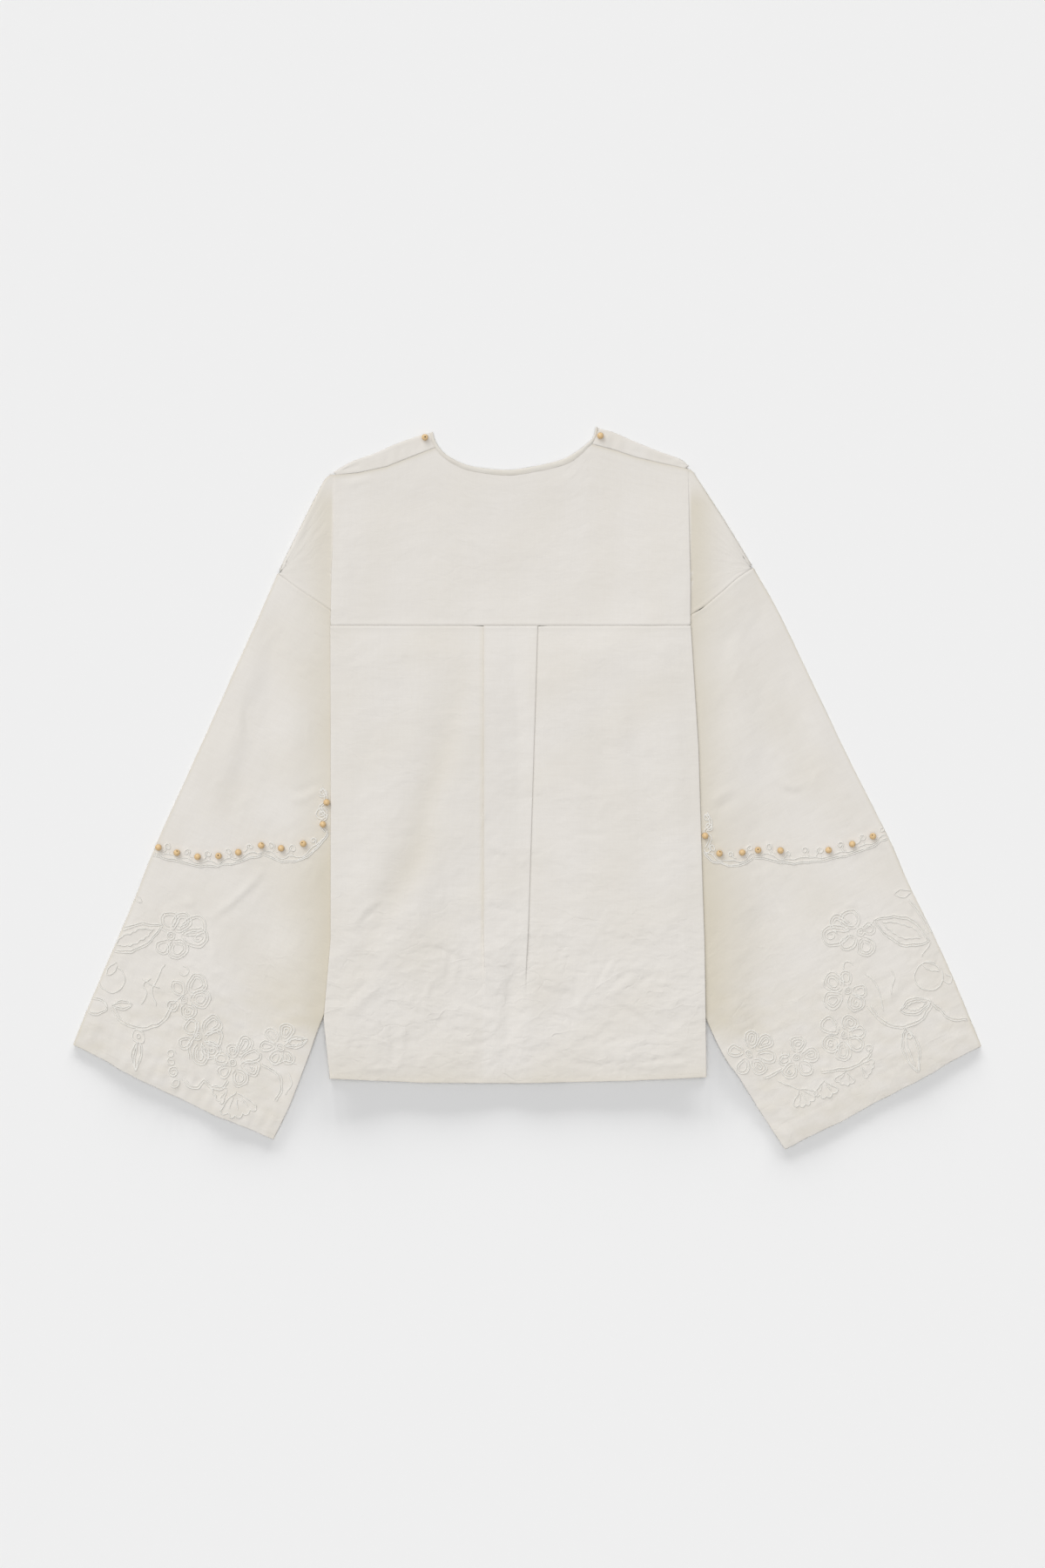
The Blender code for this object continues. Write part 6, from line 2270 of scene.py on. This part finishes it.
@dataclass(frozen=True)
class Studio:
    """The pale floor, the soft light and the camera straight above."""

    centre: Point = Point(-4.7, 4.35)
    frame_height: float = 1566
    lens: float = 100
    sensor: float = 36
    floor_half: float = 25
    floor_colour: tuple = (0.865, 0.865, 0.865, 1)
    sky: float = 0.34
    overhead: Lamp = Lamp("overhead", 0.40, 90, 0, 60)
    key: Lamp = Lamp("key", 0.26, 38, 32, 44)
    low: tuple = tuple(Lamp(f"low_{k}", 0.065, 6, turn, 9)
                       for k, turn in enumerate((-24, -8, 8, 24)))

    def floor(self) -> Object:
        """Makes the floor: a wide level sheet, matt and even in colour."""
        half = self.floor_half
        mesh = bpy.data.meshes.new("floor")
        corners = [(-half, -half, 0), (half, -half, 0), (half, half, 0), (-half, half, 0)]
        mesh.from_pydata(corners, [], [(0, 1, 2, 3)])
        material = bpy.data.materials.new("floor")
        material.use_nodes = True
        shader = material.node_tree.nodes["Principled BSDF"]
        put(shader, Base_Color=self.floor_colour, Roughness=1, Specular_IOR_Level=0)
        mesh.materials.append(material)
        floor = bpy.data.objects.new("floor", mesh)
        bpy.context.scene.collection.objects.link(floor)
        return floor

    def share_out(self, lamp: Object, floor: Object, state: str) -> None:
        """Lets a lamp light only the floor, or all but the floor."""
        group = bpy.data.collections.new(f"lit_by_{lamp.name}")
        group.objects.link(floor)
        group.collection_objects[0].light_linking.link_state = state
        lamp.light_linking.receiver_collection = group

    def camera(self) -> None:
        """Makes the camera, high above the blouse and looking straight down."""
        lens = bpy.data.cameras.new("camera")
        lens.lens = self.lens
        lens.sensor_width = self.sensor
        camera = bpy.data.objects.new("camera", lens)
        away = self.frame_height * self.lens / self.sensor
        camera.location = (self.centre.x * MM, self.centre.y * MM, away * MM)
        bpy.context.scene.collection.objects.link(camera)
        bpy.context.scene.camera = camera

    def build(self) -> None:
        """Makes the floor, the sky, the lamps and the camera.

        The low lamps draw the long soft shadow on the floor alone, and the key
        lights all but the floor, from the upper left.
        """
        floor = self.floor()
        self.overhead.build()
        self.share_out(self.key.build(), floor, "EXCLUDE")
        for lamp in self.low:
            self.share_out(lamp.build(), floor, "INCLUDE")
        world = bpy.data.worlds.new("studio")
        world.use_nodes = True
        put(world.node_tree.nodes["Background"], Color=(1, 1, 1, 1), Strength=self.sky)
        bpy.context.scene.world = world
        self.camera()
        bpy.context.scene.view_settings.view_transform = "Standard"


BEAD_TILTS = (88, 35, 62, 15, 80, 48, 70, 28, 90, 55)
BEAD_TURNS = (20, 75, -40, 110, -70, 60, -15, 130, 45, -95)


def main() -> None:
    """Builds the studio, every piece of the blouse and its trim, in order."""
    Studio().build()
    finishes = Finishes.made()
    stitching = Stitching()
    back, yoke = BackPanel(), BackYoke()
    for part in (FrontPanel(), back, yoke, NeckBinding(yoke)):
        log.info("%s", part.build(finishes).name)
    x = np.linspace(-194, 176, 60)
    stitching.add(np.column_stack([x, outline_y(HEM, x) + back.hem_depth]), back.top)
    x = np.linspace(-186, 154, 60)
    stitching.add(np.column_stack([x, np.full_like(x, YOKE_SEAM_Y + 1.9)]), yoke.top)
    tilts = iter(zip(BEAD_TILTS * 2, BEAD_TURNS * 2))
    for side, beads in ((LEFT, LEFT_BEADS), (RIGHT, RIGHT_BEADS)):
        sleeve = Sleeve(side)
        log.info("%s", sleeve.build(finishes).name)
        log.info("%s", ShoulderBand(side, yoke).build(finishes).name)
        corner, inner = np.array(side.arm_edge[-1]), np.array(side.cuff_inner)
        share = np.linspace(0.02, 0.98, 50)[:, None]
        path = corner + (inner - corner) * share
        bulge = side.cuff_bulge * np.sin(math.pi * share)
        stitching.add(path + side.along * (bulge - sleeve.hem_depth), sleeve.top)
        seam = side.seam_curve(np.linspace(0.01, 0.33, 20)) + side.up * 2.2
        stitching.add(seam, lambda a, b, s=side: yoke.lobe_top(s, a, b))
        for count in range(1, len(beads) + 1):
            tilt, turn = next(tilts)
            bead = Bead(f"bead_{side.name}_{count}", tilt, turn)
            log.info("%s", bead.build(sleeve.top, finishes.wood).name)
        tilt = 6 if side is LEFT else 75
        bead = Bead(f"bead_neck_{side.name}", tilt, 30)
        log.info("%s", bead.build(yoke.top, finishes.wood).name)
    log.info("%s", stitching.build(finishes).name)


if __name__ == "__main__":
    main()
